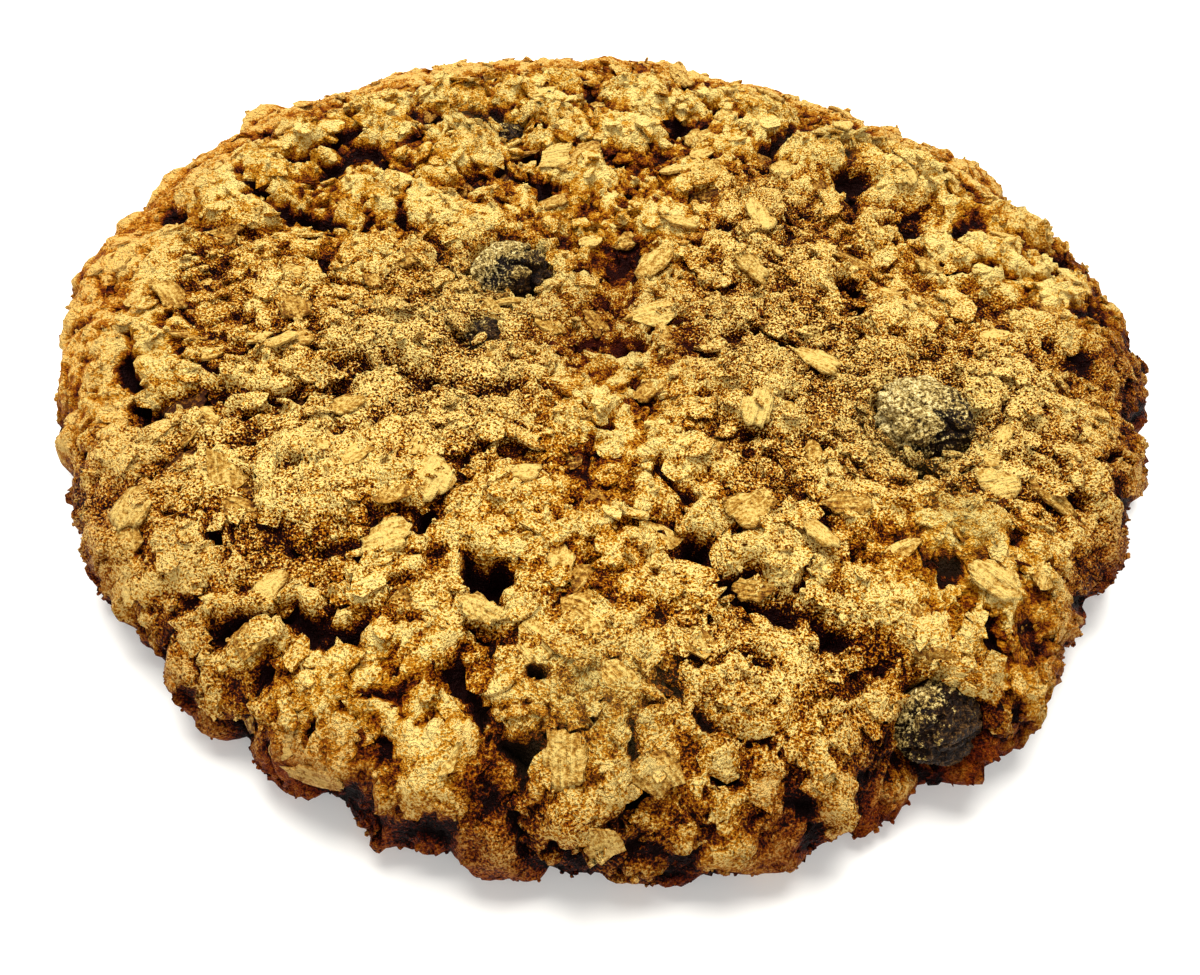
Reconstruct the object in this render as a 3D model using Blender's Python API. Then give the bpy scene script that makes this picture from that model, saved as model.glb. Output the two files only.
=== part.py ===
"""Oatmeal raisin cookie: a craggy round of dough on a flat foot, with oat flakes baked into its crust
and raisins lying in pockets of their own.

Lengths are in millimetres and become metres when a mesh is made. Spots on the crust are noted where
a line from EYE meets the level NOTED_LEVEL; true_place moves such a spot along that line to its height.
"""

import itertools
import math

import bmesh
import bpy
import numpy as np
from mathutils import Vector
from mathutils.bvhtree import BVHTree

MM = 0.001
NAME = "oatmeal_raisin_cookie"

# The round of dough under its crags.
RADIUS = 54.2
CRUST = 10.8
SHOULDER_POWER = 4.6
FOOT_TUCK = 1.5
FOOT_RISE = 2.6
PROFILE_POINTS = 1500
OUTERMOST = 0.995
ON_GROUND = 1e-6
FOOT_FLAT = 0.05
# Waves round the outline: count, amplitude, and the bearing in degrees of a crest.
OUTLINE_WAVES = ((1, 1.07, 102.0), (2, 0.3, 90.0), (3, 1.1, 27.0), (4, 0.6, 11.0))
# Dents in the outline, and bumps where the depth is under 0: bearing and half width in degrees, depth.
OUTLINE_DENTS = (
    (-178, 7, -1.5), (-152, 5, 1.0), (-94, 3, 0.8), (-76, 3, 0.6), (-62, 6, 1.8), (-50, 6, -1.4),
    (-35, 6, 0.9), (1, 5, -2.0), (18, 4, -1.1), (27, 3, 1.0), (40, 6, -3.2), (57, 4, 0.6),
    (76, 5, 1.2), (92, 5, -1.8), (121, 6, -1.5), (144, 4, -1.5), (152, 8, -1.3),
)  # fmt: skip
SPHERE_LEVEL = 6
# The underside: share of the ball's points on it, points of its half section, and how sharply the
# outward push of the crags dies away from its edge.
UNDERSIDE_SHARE = 0.10
UNDERSIDE_POINTS = 300
UNDERSIDE_EDGE = 12
DOUGH_TRIANGLES = 6200

# Spots are noted from NOTED_FROM on the level NOTED_LEVEL, as they line up from EYE.
EYE = (0.1, -80.6, 74.7)
NOTED_LEVEL = 12.0
NOTED_FROM = (-0.4, -3.8)

# Crags that make up the raised rim: noted x, y, radius, height over the crust.
RIM_CRAGS = (
    (-42, 21, 8.0, 4.2), (-37, 28, 5.5, 4.4), (-30, 36, 6.0, 4.8), (-22, 42, 5.0, 4.6),
    (-16, 45, 5.0, 4.4), (-10, 38, 6.5, 4.6), (-19, 32, 5.5, 4.6), (-11, 47, 4.5, 3.6),
    (1, 47, 6.0, 4.6), (9, 45, 5.5, 4.7), (16, 44, 6.0, 4.7), (0, 38, 5.5, 4.0),
    (12, 37, 5.5, 4.2), (24, 36, 5.0, 5.0), (29, 39, 4.5, 4.4), (35, 35, 7.0, 5.4),
    (38, 28, 5.5, 4.2), (45, 26, 6.0, 3.8), (41, 17, 6.0, 4.0), (47, 15, 5.0, 3.4),
    (46, 5, 5.5, 2.4), (38, -3, 6.0, 2.8), (45, -7, 5.5, 2.4), (36, -12, 4.5, 2.4),
    (42, -15, 5.0, 2.4), (39, -24, 5.0, 2.4), (33, -28, 5.5, 2.4), (30, -36, 5.0, 1.8),
    (19, -42, 5.0, 2.0), (11, -39, 5.5, 2.2), (2, -40, 9.5, 3.0), (-9, -45, 5.5, 2.0),
    (-18, -44, 6.0, 2.0), (-26, -37, 6.5, 2.2), (-35, -30, 6.0, 2.4), (-40, -21, 6.0, 2.4),
    (-45, -9, 7.5, 2.6), (-46, 4, 6.5, 2.4), (-38, -13, 5.0, 2.2), (21.5, -43.5, 2.6, 3.2),
    (32, -40, 2.8, 2.8),
)  # fmt: skip
# Crags within the rim, noted the same way.
INNER_CRAGS = (
    (-33, 16, 4.0, 2.4), (-27, 18, 5.0, 3.0), (-21, 18, 5.5, 3.0), (-15, 15, 6.0, 3.2),
    (-22, 25, 5.0, 3.0), (10, 29, 6.5, 3.4), (15, 23, 5.5, 3.4), (13, 15, 5.5, 3.2),
    (4, 17, 5.0, 2.6), (21, 28, 5.5, 3.4), (28, 21, 5.0, 3.4), (34, 19, 5.0, 2.8),
    (22, 12, 5.0, 2.6), (30, 4, 6.0, 2.6), (-5, 26, 6.0, 3.0), (-33, 2, 6.5, 2.6),
    (-22, -5, 7.0, 3.4), (-24, 7, 5.0, 2.2), (-31, -13, 6.0, 2.6), (-21, -21, 9.0, 3.2),
    (-31, -26, 5.0, 2.4), (-7, -24, 6.5, 2.8), (0, -14, 5.5, 2.6), (8, -18, 6.0, 2.8),
    (13, -8, 7.5, 3.2), (14, -26, 6.0, 2.8), (1, -27, 5.0, 2.4), (6, -33, 5.5, 2.4),
    (24, -31, 6.5, 2.6), (22, -21, 5.0, 2.4), (-14, -34, 6.0, 2.2), (31, -21, 5.0, 3.0),
    (-10, -7, 4.0, 1.6), (14, 3, 5.5, 2.4), (3, 2, 5.0, 1.4), (-3, 12, 4.0, 1.8),
)  # fmt: skip
# How far a crag reaches past its noted radius, and the power of its edge.
CRAG_SPREAD = 1.14
CRAG_EDGE = 0.74
BLEND_POWER = 6.0
# How high over the bare crust the valleys between crags lie, and the heights of crust over which
# that fades in up the wall.
VALLEY = 1.3
VALLEY_LEVELS = (5.0, 9.0)

# Smaller crags filled in over the crust and round the wall.
FILL_SEED = 7
FILL_PITCH = 7.0
FILL_JITTER = 1.8
FILL_MARGIN = 3.0
FILL_RADIUS = (2.8, 5.0)
FILL_HEIGHT = (0.9, 2.1)
WALL_RADIUS = (2.4, 4.6)
WALL_HEIGHT = (0.8, 2.4)
WALL_PITCH = 5.6
WALL_LEVELS = (2.6, 6.6)
WALL_JITTER = 0.9

# Clefts between crags: noted points, half width, depth.
CLEFTS = (
    (((-36, 17), (-33, 21), (-29, 25)), 1.9, 4.2),
    (((-34, 34), (-32, 29), (-29, 25)), 1.0, 3.0),
    (((-23, 35), (-24, 27)), 1.2, 3.4),
    (((-17, 30), (-14, 29), (-10, 28)), 1.6, 4.0),
    (((-11, 34), (-5, 32), (4, 31.5), (9, 34)), 1.5, 2.6),
    (((19, 40), (22, 41)), 1.2, 2.6),
    (((28, 33), (29, 29), (33, 25)), 1.7, 4.0),
    (((37, 31), (34.5, 24), (38, 21), (41, 24)), 1.2, 3.0),
    (((25, 24), (23.5, 15)), 1.3, 2.6),
    (((27, 17), (30, 16.5)), 1.8, 3.4),
    (((11, 14), (12, 10), (16, 8)), 1.1, 2.6),
    (((34, 11), (40, 8), (45, 11)), 1.2, 2.6),
    (((-14, 22), (-9, 16)), 1.1, 2.2),
    (((-41, 15), (-37, 12), (-33, 9.5), (-27, 8)), 1.3, 3.0),
    (((-28, 3), (-26, -1), (-23, -1)), 1.0, 2.0),
    (((-43, -15), (-38, -19), (-31, -17), (-25, -17), (-22, -13)), 1.4, 3.4),
    (((-20, -12), (-15, -13), (-9, -14)), 1.5, 3.2),
    (((-10, -19), (-12, -28)), 1.0, 2.2),
    (((-27, -27), (-22, -31), (-17, -33)), 1.1, 2.4),
    (((-27, -39), (-20, -39), (-16, -39)), 1.4, 3.0),
    (((-9, -40), (-6, -44), (-3, -47)), 1.2, 2.6),
    (((-4, -5), (3, -4.5)), 1.2, 2.4),
    (((11, -3.5), (17, -3), (23, -7)), 1.0, 2.4),
    (((4, -11), (4, -15)), 0.9, 2.0),
    (((7, -29), (12, -32), (17, -35)), 1.7, 3.8),
    (((5, -22), (7, -26)), 0.9, 2.0),
    (((32, -32), (34, -37)), 1.2, 2.6),
    (((41, -20), (37, -21)), 1.3, 3.0),
    (((43, -0.5), (46, -1.5)), 1.1, 2.4),
)  # fmt: skip
CLEFT_SPREAD = 1.15
CLEFT_EDGE = 1.4
CLEFT_SHARE = 0.85
# How clefts deepen and fade along their length: cell size, least share of the depth, seed.
CLEFT_BREAKS = (3.6, 0.4, 37)
# Heights between which clefts and holes fade out down the wall.
CUT_LEVELS = (4.0, 7.0)
# Round holes: noted x, y, radius, depth.
HOLES = (
    (-24, 41, 1.6, 2.4), (-3, 44, 1.5, 2.2), (-7.5, -33, 2.0, 3.4), (-20.5, -38.5, 1.6, 2.6),
    (12, -45.5, 1.3, 2.0), (27, -17, 1.5, 2.6), (3, -4.5, 1.2, 2.0), (-38, 12, 1.3, 2.0),
    (23, 6, 1.4, 2.0), (-28, -32.5, 1.2, 2.0), (9, 35, 1.4, 2.2), (18.5, -16, 1.3, 2.0),
)  # fmt: skip
HOLE_STEEPNESS = 1.6
HOLE_SPREAD = 1.0
# Broad hollows: noted x, y, half width, half length, bearing of the length in degrees, depth.
HOLLOWS = ((0, 7, 3.4, 7.5, 90, 1.8), (0, -5, 7.0, 4.5, 0, 1.2), (-11.5, 4.5, 5.0, 5.5, 0, 1.3))
HOLLOW_LEVEL = 6.0

# Raisins: noted x and y, height, half sizes, then tilt about X and turn about Z in degrees, and seed.
RAISINS = {
    "raisin_centre": ((-10.5, 4.3, 10.9), (4.4, 4.3, 3.0), (-12, 20), 3),
    "raisin_right": ((29.0, -11.0, 11.5), (4.7, 4.3, 3.1), (8, -25), 5),
    "raisin_front": ((25.7, -41.7, 6.7), (3.7, 3.4, 2.8), (50, 32), 8),
    "raisin_small": ((-11.5, -6.3, 10.0), (2.9, 2.6, 2.2), (-10, 50), 13),
    "raisin_back": ((-14.2, 27.6, 10.9), (3.6, 2.6, 2.6), (-22, 10), 21),
}
RAISIN_LEVEL = 4
RAISIN_TRIANGLES = 400
# Raisin creases follow the zero lines of a noise over the unit ball: shares of its axes that make them
# run lengthways, bend of the ball as cell size and reach, then for broad and fine creases cell size,
# half width in noise and depth.
RAISIN_GRAIN = (0.6, 1.0, 1.0)
RAISIN_BEND = (0.7, 0.25)
BROAD_CREASE = (0.46, 0.30, 0.20)
FINE_CREASE = (0.22, 0.4, 0.09)
BROAD_EDGE = 1.4
POCKET_LEVEL = 3
POCKET_GAP = 0.38
RAISIN_CLEARANCE = 1.4

# Oat flakes that stand out: noted x, y, length, width, turn about Z in degrees.
LARGE_FLAKES = (
    (-5, 26, 7.4, 3.6, 60), (-12, 22.5, 6.0, 4.0, 75), (-7.5, 19, 4.2, 3.6, 20),
    (4, 9.5, 6.6, 3.2, 66), (9, 21.5, 4.4, 2.8, 10), (25, 12.5, 6.0, 1.8, -18),
    (-43, -2, 6.2, 2.4, -48), (-27, -14, 5.2, 3.4, 12), (-37, -28, 4.4, 3.4, 70),
    (-24, -42.5, 5.4, 2.6, 80), (-18, -48, 5.0, 2.0, 8), (-1, -13.5, 4.4, 3.2, 25),
    (13.5, -13, 4.4, 3.0, 80), (21.5, -22, 3.8, 2.8, 0), (13, -24, 4.4, 3.6, 40),
    (18.5, -26, 3.6, 2.6, 130), (40.5, -17, 5.4, 2.0, -38), (35.5, -17, 4.2, 3.2, 20),
    (28, -35, 5.2, 2.0, -44), (31, -2, 4.4, 3.2, 30), (0, -46, 4.0, 3.6, 90),
    (-29, -25, 4.2, 3.0, 35), (15, 17, 4.4, 3.4, 110), (-41, 8, 4.8, 3.2, 15),
)  # fmt: skip
SIGHT_HEIGHT = 40.0
WELD = 0.002
FLAKE_SIDES = 7
FLAKE_THICK = 0.85
FLAKE_CROWN = 0.22
FLAKE_BEVEL = 0.84
FLAKE_SINK = 0.42
FLAKE_LEVEL = CRUST + 2.0
SMALL_SEED = 19
SMALL_FLAKES = 34
SMALL_LENGTH = (2.8, 4.6)
SMALL_WIDTH = (0.55, 0.8)
SMALL_REACH = 46.0
FLAKE_SPACING = 1.15

NOISE_TABLE = 4096
NOISE_PRIMES = (73856093, 19349663, 83492791)
# How far the crags' edges wander, as cell size and reach.
WANDER = ((8.0, 1.9, 11), (3.2, 0.75, 23), (1.4, 0.2, 29))
# How far the sides of clefts and holes wander beyond that.
TEAR = (2.1, 0.8, 33)
GRAIN = ((2.4, 0.26, 31),)

DOUGH_COLOUR = (0.62, 0.40, 0.15, 1.0)
RAISIN_COLOUR = (0.05, 0.025, 0.02, 1.0)


def clear_scene():
    """Removes whatever objects the file starts with."""
    for item in list(bpy.data.objects):
        bpy.data.objects.remove(item, do_unlink=True)


def make_material(name, colour, roughness):
    """A plain coloured material."""
    material = bpy.data.materials.new(name)
    material.use_nodes = True
    shader = material.node_tree.nodes["Principled BSDF"]
    shader.inputs["Base Color"].default_value = colour
    shader.inputs["Roughness"].default_value = roughness
    return material


def smooth_step(value):
    """Eases a value from 0 to 1."""
    value = np.clip(value, 0.0, 1.0)
    return value * value * (3.0 - 2.0 * value)


def value_noise(points, cell, seed):
    """Smooth random field from -1 to 1, with cells of the size given."""
    table = np.random.default_rng(seed).uniform(-1.0, 1.0, NOISE_TABLE)
    scaled = points / cell
    corner = np.floor(scaled).astype(np.int64)
    ease = smooth_step(scaled - corner)
    total = np.zeros(len(points))
    for step in itertools.product((0, 1), repeat=3):
        keys = (corner + step) * NOISE_PRIMES
        key = (keys[:, 0] ^ keys[:, 1] ^ keys[:, 2]) % NOISE_TABLE
        weight = np.prod(np.where(step, ease, 1.0 - ease), axis=1)
        total += weight * table[key]
    return total


def vector_noise(points, cell, seed):
    """Three smooth random fields side by side."""
    return np.stack([value_noise(points, cell, seed + axis) for axis in range(3)], axis=1)


def true_place(x, y, z):
    """The noted spot moved along its line from EYE to the height z."""
    share = (EYE[2] - z) / (EYE[2] - NOTED_LEVEL)
    level_x, level_y = x + NOTED_FROM[0], y + NOTED_FROM[1]
    return EYE[0] + (level_x - EYE[0]) * share, EYE[1] + (level_y - EYE[1]) * share


def outline_scale(bearing):
    """Radius of the outline at a bearing, over its mean."""
    waves = sum(
        size * np.cos(count * (bearing - math.radians(crest))) for count, size, crest in OUTLINE_WAVES
    )
    for middle, half, depth in OUTLINE_DENTS:
        away = np.angle(np.exp(1j * (bearing - math.radians(middle)))) / math.radians(half)
        waves = waves - depth * np.exp(-(away**2))
    return 1.0 + waves / RADIUS


def profile():
    """Half section of the bare round from the middle of its top to the middle of its underside:
    radius, height, outward normal and the share of the surface above each point."""
    turn = np.linspace(0.0, math.pi / 2.0, PROFILE_POINTS)
    radius = RADIUS * np.sin(turn) ** (2.0 / SHOULDER_POWER)
    height = CRUST * np.cos(turn) ** (2.0 / SHOULDER_POWER)
    height[-1] = 0.0
    radius = radius - FOOT_TUCK * np.clip(1.0 - height / FOOT_RISE, 0.0, 1.0) ** 2
    under = np.linspace(1.0, 0.0, UNDERSIDE_POINTS)[1:]
    ring = np.concatenate([radius, radius[-1] * under])
    level = np.concatenate([height, np.zeros(len(under))])
    step_r = np.gradient(ring)
    step_z = np.gradient(level)
    long = np.hypot(step_r, step_z)
    upright = np.clip(step_r / long, 0.0, 1.0) * smooth_step(level / FOOT_RISE)
    outward = np.sqrt(1.0 - upright**2)
    band = np.hypot(np.diff(ring), np.diff(level)) * (ring[1:] + ring[:-1]) / 2.0
    band[len(radius) - 1 :] *= UNDERSIDE_SHARE
    share = np.concatenate([[0.0], np.cumsum(band)])
    return ring, level, outward, upright, share / share[-1]


def bare_round(directions):
    """Lays the points of a unit sphere over the bare round: places and outward directions."""
    ring, level, outward, upright, share = profile()
    depth = (1.0 - directions[:, 2]) / 2.0
    bearing = np.arctan2(directions[:, 1], directions[:, 0])
    radius = np.interp(depth, share, ring)
    height = np.interp(depth, share, level)
    wide = radius * (1.0 + (outline_scale(bearing) - 1.0) * (radius / RADIUS) ** 2)
    places = np.stack([wide * np.cos(bearing), wide * np.sin(bearing), height], axis=1)
    out = np.interp(depth, share, outward)
    up = np.interp(depth, share, upright)
    under = (height < ON_GROUND) & (depth > 0.5)
    out = np.where(under, (radius / ring[np.argmax(level <= 0.0)]) ** UNDERSIDE_EDGE, out)
    up = np.where(under, 0.0, up)
    facing = np.stack([out * np.cos(bearing), out * np.sin(bearing), up], axis=1)
    return places, facing


def bare_height(x, y):
    """Height of the bare round over a spot of the plan."""
    share = np.clip(math.hypot(x, y) / RADIUS, 0.0, OUTERMOST)
    return CRUST * (1.0 - share**SHOULDER_POWER) ** (1.0 / SHOULDER_POWER)


def crags():
    """Every crag as centre on the bare round, radius and height: those that stand out, then the
    smaller ones filled in over the crust and round the wall."""
    found = []
    for x, y, radius, height in RIM_CRAGS + INNER_CRAGS:
        px, py = true_place(x, y, CRUST + height)
        found.append(((px, py, bare_height(px, py)), radius, height))
    rng = np.random.default_rng(FILL_SEED)
    count = int(2 * RADIUS / FILL_PITCH) + 1
    for row, column in itertools.product(range(count), repeat=2):
        px = (column + 0.5 * (row % 2) - count / 2) * FILL_PITCH + rng.uniform(-FILL_JITTER, FILL_JITTER)
        py = (row - count / 2) * FILL_PITCH + rng.uniform(-FILL_JITTER, FILL_JITTER)
        radius = rng.uniform(*FILL_RADIUS)
        height = rng.uniform(*FILL_HEIGHT)
        if math.hypot(px, py) < RADIUS - FILL_MARGIN:
            found.append(((px, py, bare_height(px, py)), radius, height))
    steps = int(2 * math.pi * RADIUS / WALL_PITCH)
    for level, step in itertools.product(WALL_LEVELS, range(steps)):
        bearing = (step + rng.uniform(0.0, WALL_JITTER)) * 2 * math.pi / steps
        reach = RADIUS * outline_scale(bearing)
        height = level + rng.uniform(-WALL_JITTER, WALL_JITTER)
        centre = (reach * math.cos(bearing), reach * math.sin(bearing), height)
        found.append((centre, rng.uniform(*WALL_RADIUS), rng.uniform(*WALL_HEIGHT)))
    return found


def distance_to_path(points, path):
    """Distance in plan from each point to a path of straight runs."""
    nearest = np.full(len(points), np.inf)
    for start, end in zip(path[:-1], path[1:]):
        start = np.array(start)
        run = np.array(end) - start
        along = np.clip((points[:, :2] - start) @ run / (run @ run), 0.0, 1.0)
        gap = points[:, :2] - start - along[:, None] * run
        nearest = np.minimum(nearest, np.hypot(gap[:, 0], gap[:, 1]))
    return nearest


def relief(places):
    """How far the crust stands out from the bare round at each place."""
    wandered = places.copy()
    for cell, reach, seed in WANDER:
        wandered += reach * vector_noise(places, cell, seed)
    low, high = VALLEY_LEVELS
    total = (VALLEY * smooth_step((places[:, 2] - low) / (high - low))) ** BLEND_POWER
    for centre, radius, height in crags():
        gap = np.linalg.norm(wandered - centre, axis=1) / (CRAG_SPREAD * radius)
        total += (height * np.clip(1.0 - gap**2, 0.0, None) ** CRAG_EDGE) ** BLEND_POWER
    raised = total ** (1.0 / BLEND_POWER)
    cell, reach, seed = TEAR
    torn = wandered + reach * vector_noise(places, cell, seed)
    cut = np.zeros(len(places))
    for path, half, depth in CLEFTS:
        line = [true_place(x, y, CRUST) for x, y in path]
        gap = distance_to_path(torn, line)
        cut = np.maximum(cut, depth * np.clip(1.0 - gap / (CLEFT_SPREAD * half), 0.0, 1.0) ** CLEFT_EDGE)
    cut *= CLEFT_SHARE
    cell, least, seed = CLEFT_BREAKS
    cut *= least + (1.0 - least) * smooth_step(0.5 + value_noise(places, cell, seed))
    for x, y, radius, depth in HOLES:
        centre = np.array(true_place(x, y, CRUST))
        gap = np.linalg.norm(torn[:, :2] - centre, axis=1)
        cut = np.maximum(cut, depth * smooth_step(HOLE_STEEPNESS * (1.0 - gap / (HOLE_SPREAD * radius))))
    cut = cut * smooth_step((places[:, 2] - CUT_LEVELS[0]) / (CUT_LEVELS[1] - CUT_LEVELS[0]))
    sunk = np.zeros(len(places))
    for x, y, wide, long, bearing, depth in HOLLOWS:
        gap = places[:, :2] - true_place(x, y, CRUST)
        turn = math.radians(bearing)
        along = gap @ (math.cos(turn), math.sin(turn))
        across = gap @ (-math.sin(turn), math.cos(turn))
        sunk += depth * np.exp(-((along / long) ** 2) - (across / wide) ** 2)
    grain = sum(reach * value_noise(places, cell, seed) for cell, reach, seed in GRAIN)
    return raised - cut - sunk * smooth_step(places[:, 2] / HOLLOW_LEVEL) + grain


def mesh_points(mesh):
    """A mesh's vertices as an array."""
    flat = np.empty(3 * len(mesh.vertices))
    mesh.vertices.foreach_get("co", flat)
    return flat.reshape(-1, 3)


def set_points(mesh, points):
    """Writes an array back to a mesh's vertices."""
    mesh.vertices.foreach_set("co", points.ravel())
    mesh.update()


def ball(name, level, collection):
    """A unit ball of near-equal triangles."""
    shape = bmesh.new()
    bmesh.ops.create_icosphere(shape, subdivisions=level, radius=1.0)
    mesh = bpy.data.meshes.new(name)
    shape.to_mesh(mesh)
    shape.free()
    item = bpy.data.objects.new(name, mesh)
    collection.objects.link(item)
    return item


def apply_modifiers(item):
    """Turns an object's modifiers into plain geometry."""
    graph = bpy.context.evaluated_depsgraph_get()
    mesh = bpy.data.meshes.new_from_object(item.evaluated_get(graph))
    item.modifiers.clear()
    old = item.data
    item.data = mesh
    mesh.name = item.name
    bpy.data.meshes.remove(old)


def thin_out(item, triangles):
    """Merges triangles where a mesh is flattest."""
    modifier = item.modifiers.new("thin", "DECIMATE")
    modifier.ratio = triangles / len(item.data.polygons)
    modifier.use_collapse_triangulate = True
    apply_modifiers(item)


def bake_dough(collection):
    """The craggy body without flakes or pockets."""
    item = ball("cookie", SPHERE_LEVEL, collection)
    places, facing = bare_round(mesh_points(item.data))
    points = places + facing * relief(places)[:, None]
    points[:, 2] = np.where(places[:, 2] < ON_GROUND, 0.0, np.maximum(points[:, 2], 0.0))
    set_points(item.data, points * MM)
    thin_out(item, DOUGH_TRIANGLES)
    return item


def turn_matrix(tilt, turn):
    """Rotation by a tilt about X, then a turn about Z, in degrees."""
    a, b = math.radians(tilt), math.radians(turn)
    about_x = np.array([[1, 0, 0], [0, math.cos(a), -math.sin(a)], [0, math.sin(a), math.cos(a)]])
    about_z = np.array([[math.cos(b), -math.sin(b), 0], [math.sin(b), math.cos(b), 0], [0, 0, 1]])
    return about_z @ about_x


def wrinkles(directions, seed):
    """Share of a raisin's size left at each direction, under 1 in its creases."""
    bent = directions * RAISIN_GRAIN + RAISIN_BEND[1] * vector_noise(directions, RAISIN_BEND[0], seed)
    broad = np.clip(np.abs(value_noise(bent, BROAD_CREASE[0], seed + 5)) / BROAD_CREASE[1], 0.0, 1.0)
    fine = np.clip(np.abs(value_noise(bent, FINE_CREASE[0], seed + 9)) / FINE_CREASE[1], 0.0, 1.0)
    return 1.0 - BROAD_CREASE[2] * (1.0 - broad) ** BROAD_EDGE - FINE_CREASE[2] * (1.0 - fine)


def raisin_centre(spec):
    """Where the middle of a raisin lies."""
    x, y, z = spec[0]
    return (*true_place(x, y, z), z)


def make_raisin(name, spec, collection):
    """A wrinkled raisin in its place."""
    _, half, (tilt, turn), seed = spec
    item = ball(name, RAISIN_LEVEL, collection)
    directions = mesh_points(item.data)
    shape = directions * wrinkles(directions, seed)[:, None] * half
    set_points(item.data, (shape @ turn_matrix(tilt, turn).T + raisin_centre(spec)) * MM)
    thin_out(item, RAISIN_TRIANGLES)
    return item


def make_pocket(name, spec, collection):
    """The smooth hollow that holds a raisin with a small gap all round."""
    _, half, (tilt, turn), _ = spec
    item = ball(name + "_pocket", POCKET_LEVEL, collection)
    shape = mesh_points(item.data) * (np.array(half) + POCKET_GAP)
    set_points(item.data, (shape @ turn_matrix(tilt, turn).T + raisin_centre(spec)) * MM)
    item.hide_render = True
    item.display_type = "WIRE"
    return item


def surface_frame(tree, x, y, spread):
    """Height and mean normal of the crust round a spot of the plan."""
    hits = []
    for dx, dy in ((0, 0), (spread, 0), (-spread, 0), (0, spread), (0, -spread)):
        spot = Vector((x + dx, y + dy, SIGHT_HEIGHT)) * MM
        place, normal, _, _ = tree.ray_cast(spot, Vector((0, 0, -1)))
        if place is not None:
            hits.append((place.z / MM, normal))
    level = (hits[0][0] + sum(hit[0] for hit in hits) / len(hits)) / 2.0
    normal = sum((hit[1] for hit in hits), Vector()).normalized()
    return level, normal


def make_flake(name, spot, length, width, turn, tree, collection):
    """A thin oval flake with a low crown and worn edge, sunk a little into the crust."""
    level, normal = surface_frame(tree, spot[0], spot[1], width / 3)
    across = Vector((math.cos(math.radians(turn)), math.sin(math.radians(turn)), 0.0))
    side = normal.cross(across).normalized()
    along = side.cross(normal)
    base = Vector((spot[0], spot[1], level)) - normal * FLAKE_SINK
    rings = ((1.0, -FLAKE_THICK / 2), (FLAKE_BEVEL, FLAKE_THICK / 2))
    vertices = []
    for scale, lift in rings:
        for step in range(FLAKE_SIDES):
            angle = 2 * math.pi * step / FLAKE_SIDES
            place = base + along * (scale * length / 2 * math.cos(angle))
            place = place + side * (scale * width / 2 * math.sin(angle)) + normal * (lift + FLAKE_SINK)
            vertices.append(place * MM)
    vertices.append((base + normal * (FLAKE_THICK / 2 + FLAKE_CROWN + FLAKE_SINK)) * MM)
    faces = [tuple(reversed(range(FLAKE_SIDES)))]
    for step in range(FLAKE_SIDES):
        ahead = (step + 1) % FLAKE_SIDES
        for ring in range(len(rings) - 1):
            low, high = ring * FLAKE_SIDES, (ring + 1) * FLAKE_SIDES
            faces.append((low + step, low + ahead, high + ahead, high + step))
        top = (len(rings) - 1) * FLAKE_SIDES
        faces.append((top + step, top + ahead, len(vertices) - 1))
    mesh = bpy.data.meshes.new(name)
    mesh.from_pydata(vertices, [], faces)
    item = bpy.data.objects.new(name, mesh)
    collection.objects.link(item)


def clear_of(spot, reach, taken):
    """Whether a flake at a spot keeps clear of everything already placed."""
    return all(math.dist(spot, other) > FLAKE_SPACING * (reach + far) for other, far in taken)


def scatter_flakes(tree, collection):
    """The flakes that stand out, then smaller ones spread evenly over the crust."""
    taken = [
        (raisin_centre(spec)[:2], max(spec[1][:2]) + RAISIN_CLEARANCE) for spec in RAISINS.values()
    ]
    for number, (x, y, length, width, turn) in enumerate(LARGE_FLAKES):
        spot = true_place(x, y, FLAKE_LEVEL)
        make_flake(f"flake_large_{number}", spot, length, width, turn, tree, collection)
        taken.append((spot, (length + width) / 4))
    rng = np.random.default_rng(SMALL_SEED)
    made = 0
    while made < SMALL_FLAKES:
        bearing = rng.uniform(0.0, 2 * math.pi)
        reach = SMALL_REACH * math.sqrt(rng.uniform())
        spot = (reach * math.cos(bearing), reach * math.sin(bearing))
        length = rng.uniform(*SMALL_LENGTH)
        width = length * rng.uniform(*SMALL_WIDTH)
        turn = rng.uniform(0.0, 180.0)
        if clear_of(spot, length / 2, taken):
            make_flake(f"flake_small_{made}", spot, length, width, turn, tree, collection)
            taken.append((spot, length / 2))
            made += 1


def combine(item, operands, operation):
    """One Boolean of an object with a whole collection, whose objects are then removed."""
    modifier = item.modifiers.new(operation.lower(), "BOOLEAN")
    modifier.operation = operation
    modifier.operand_type = "COLLECTION"
    modifier.collection = operands
    modifier.solver = "EXACT"
    apply_modifiers(item)
    for other in list(operands.objects):
        bpy.data.objects.remove(other, do_unlink=True)


def keep_main_shell(item):
    """Drops loose scraps and fills sealed hollows by keeping the largest shell alone."""
    shape = bmesh.new()
    shape.from_mesh(item.data)
    bmesh.ops.remove_doubles(shape, verts=shape.verts, dist=WELD * MM)
    left = set(shape.verts)
    shells = []
    while left:
        shell = {left.pop()}
        edge = list(shell)
        while edge:
            near = {e.other_vert(v) for v in edge for e in v.link_edges} & left
            left -= near
            shell |= near
            edge = list(near)
        shells.append(shell)
    main = max(shells, key=len)
    bmesh.ops.delete(shape, geom=[v for v in shape.verts if v not in main], context="VERTS")
    bmesh.ops.triangulate(shape, faces=shape.faces)
    shape.to_mesh(item.data)
    shape.free()


def flatten_foot(item):
    """Puts every point within FOOT_FLAT of the ground on it."""
    points = mesh_points(item.data)
    points[:, 2] = np.where(points[:, 2] < FOOT_FLAT * MM, 0.0, points[:, 2])
    set_points(item.data, points)


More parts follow.
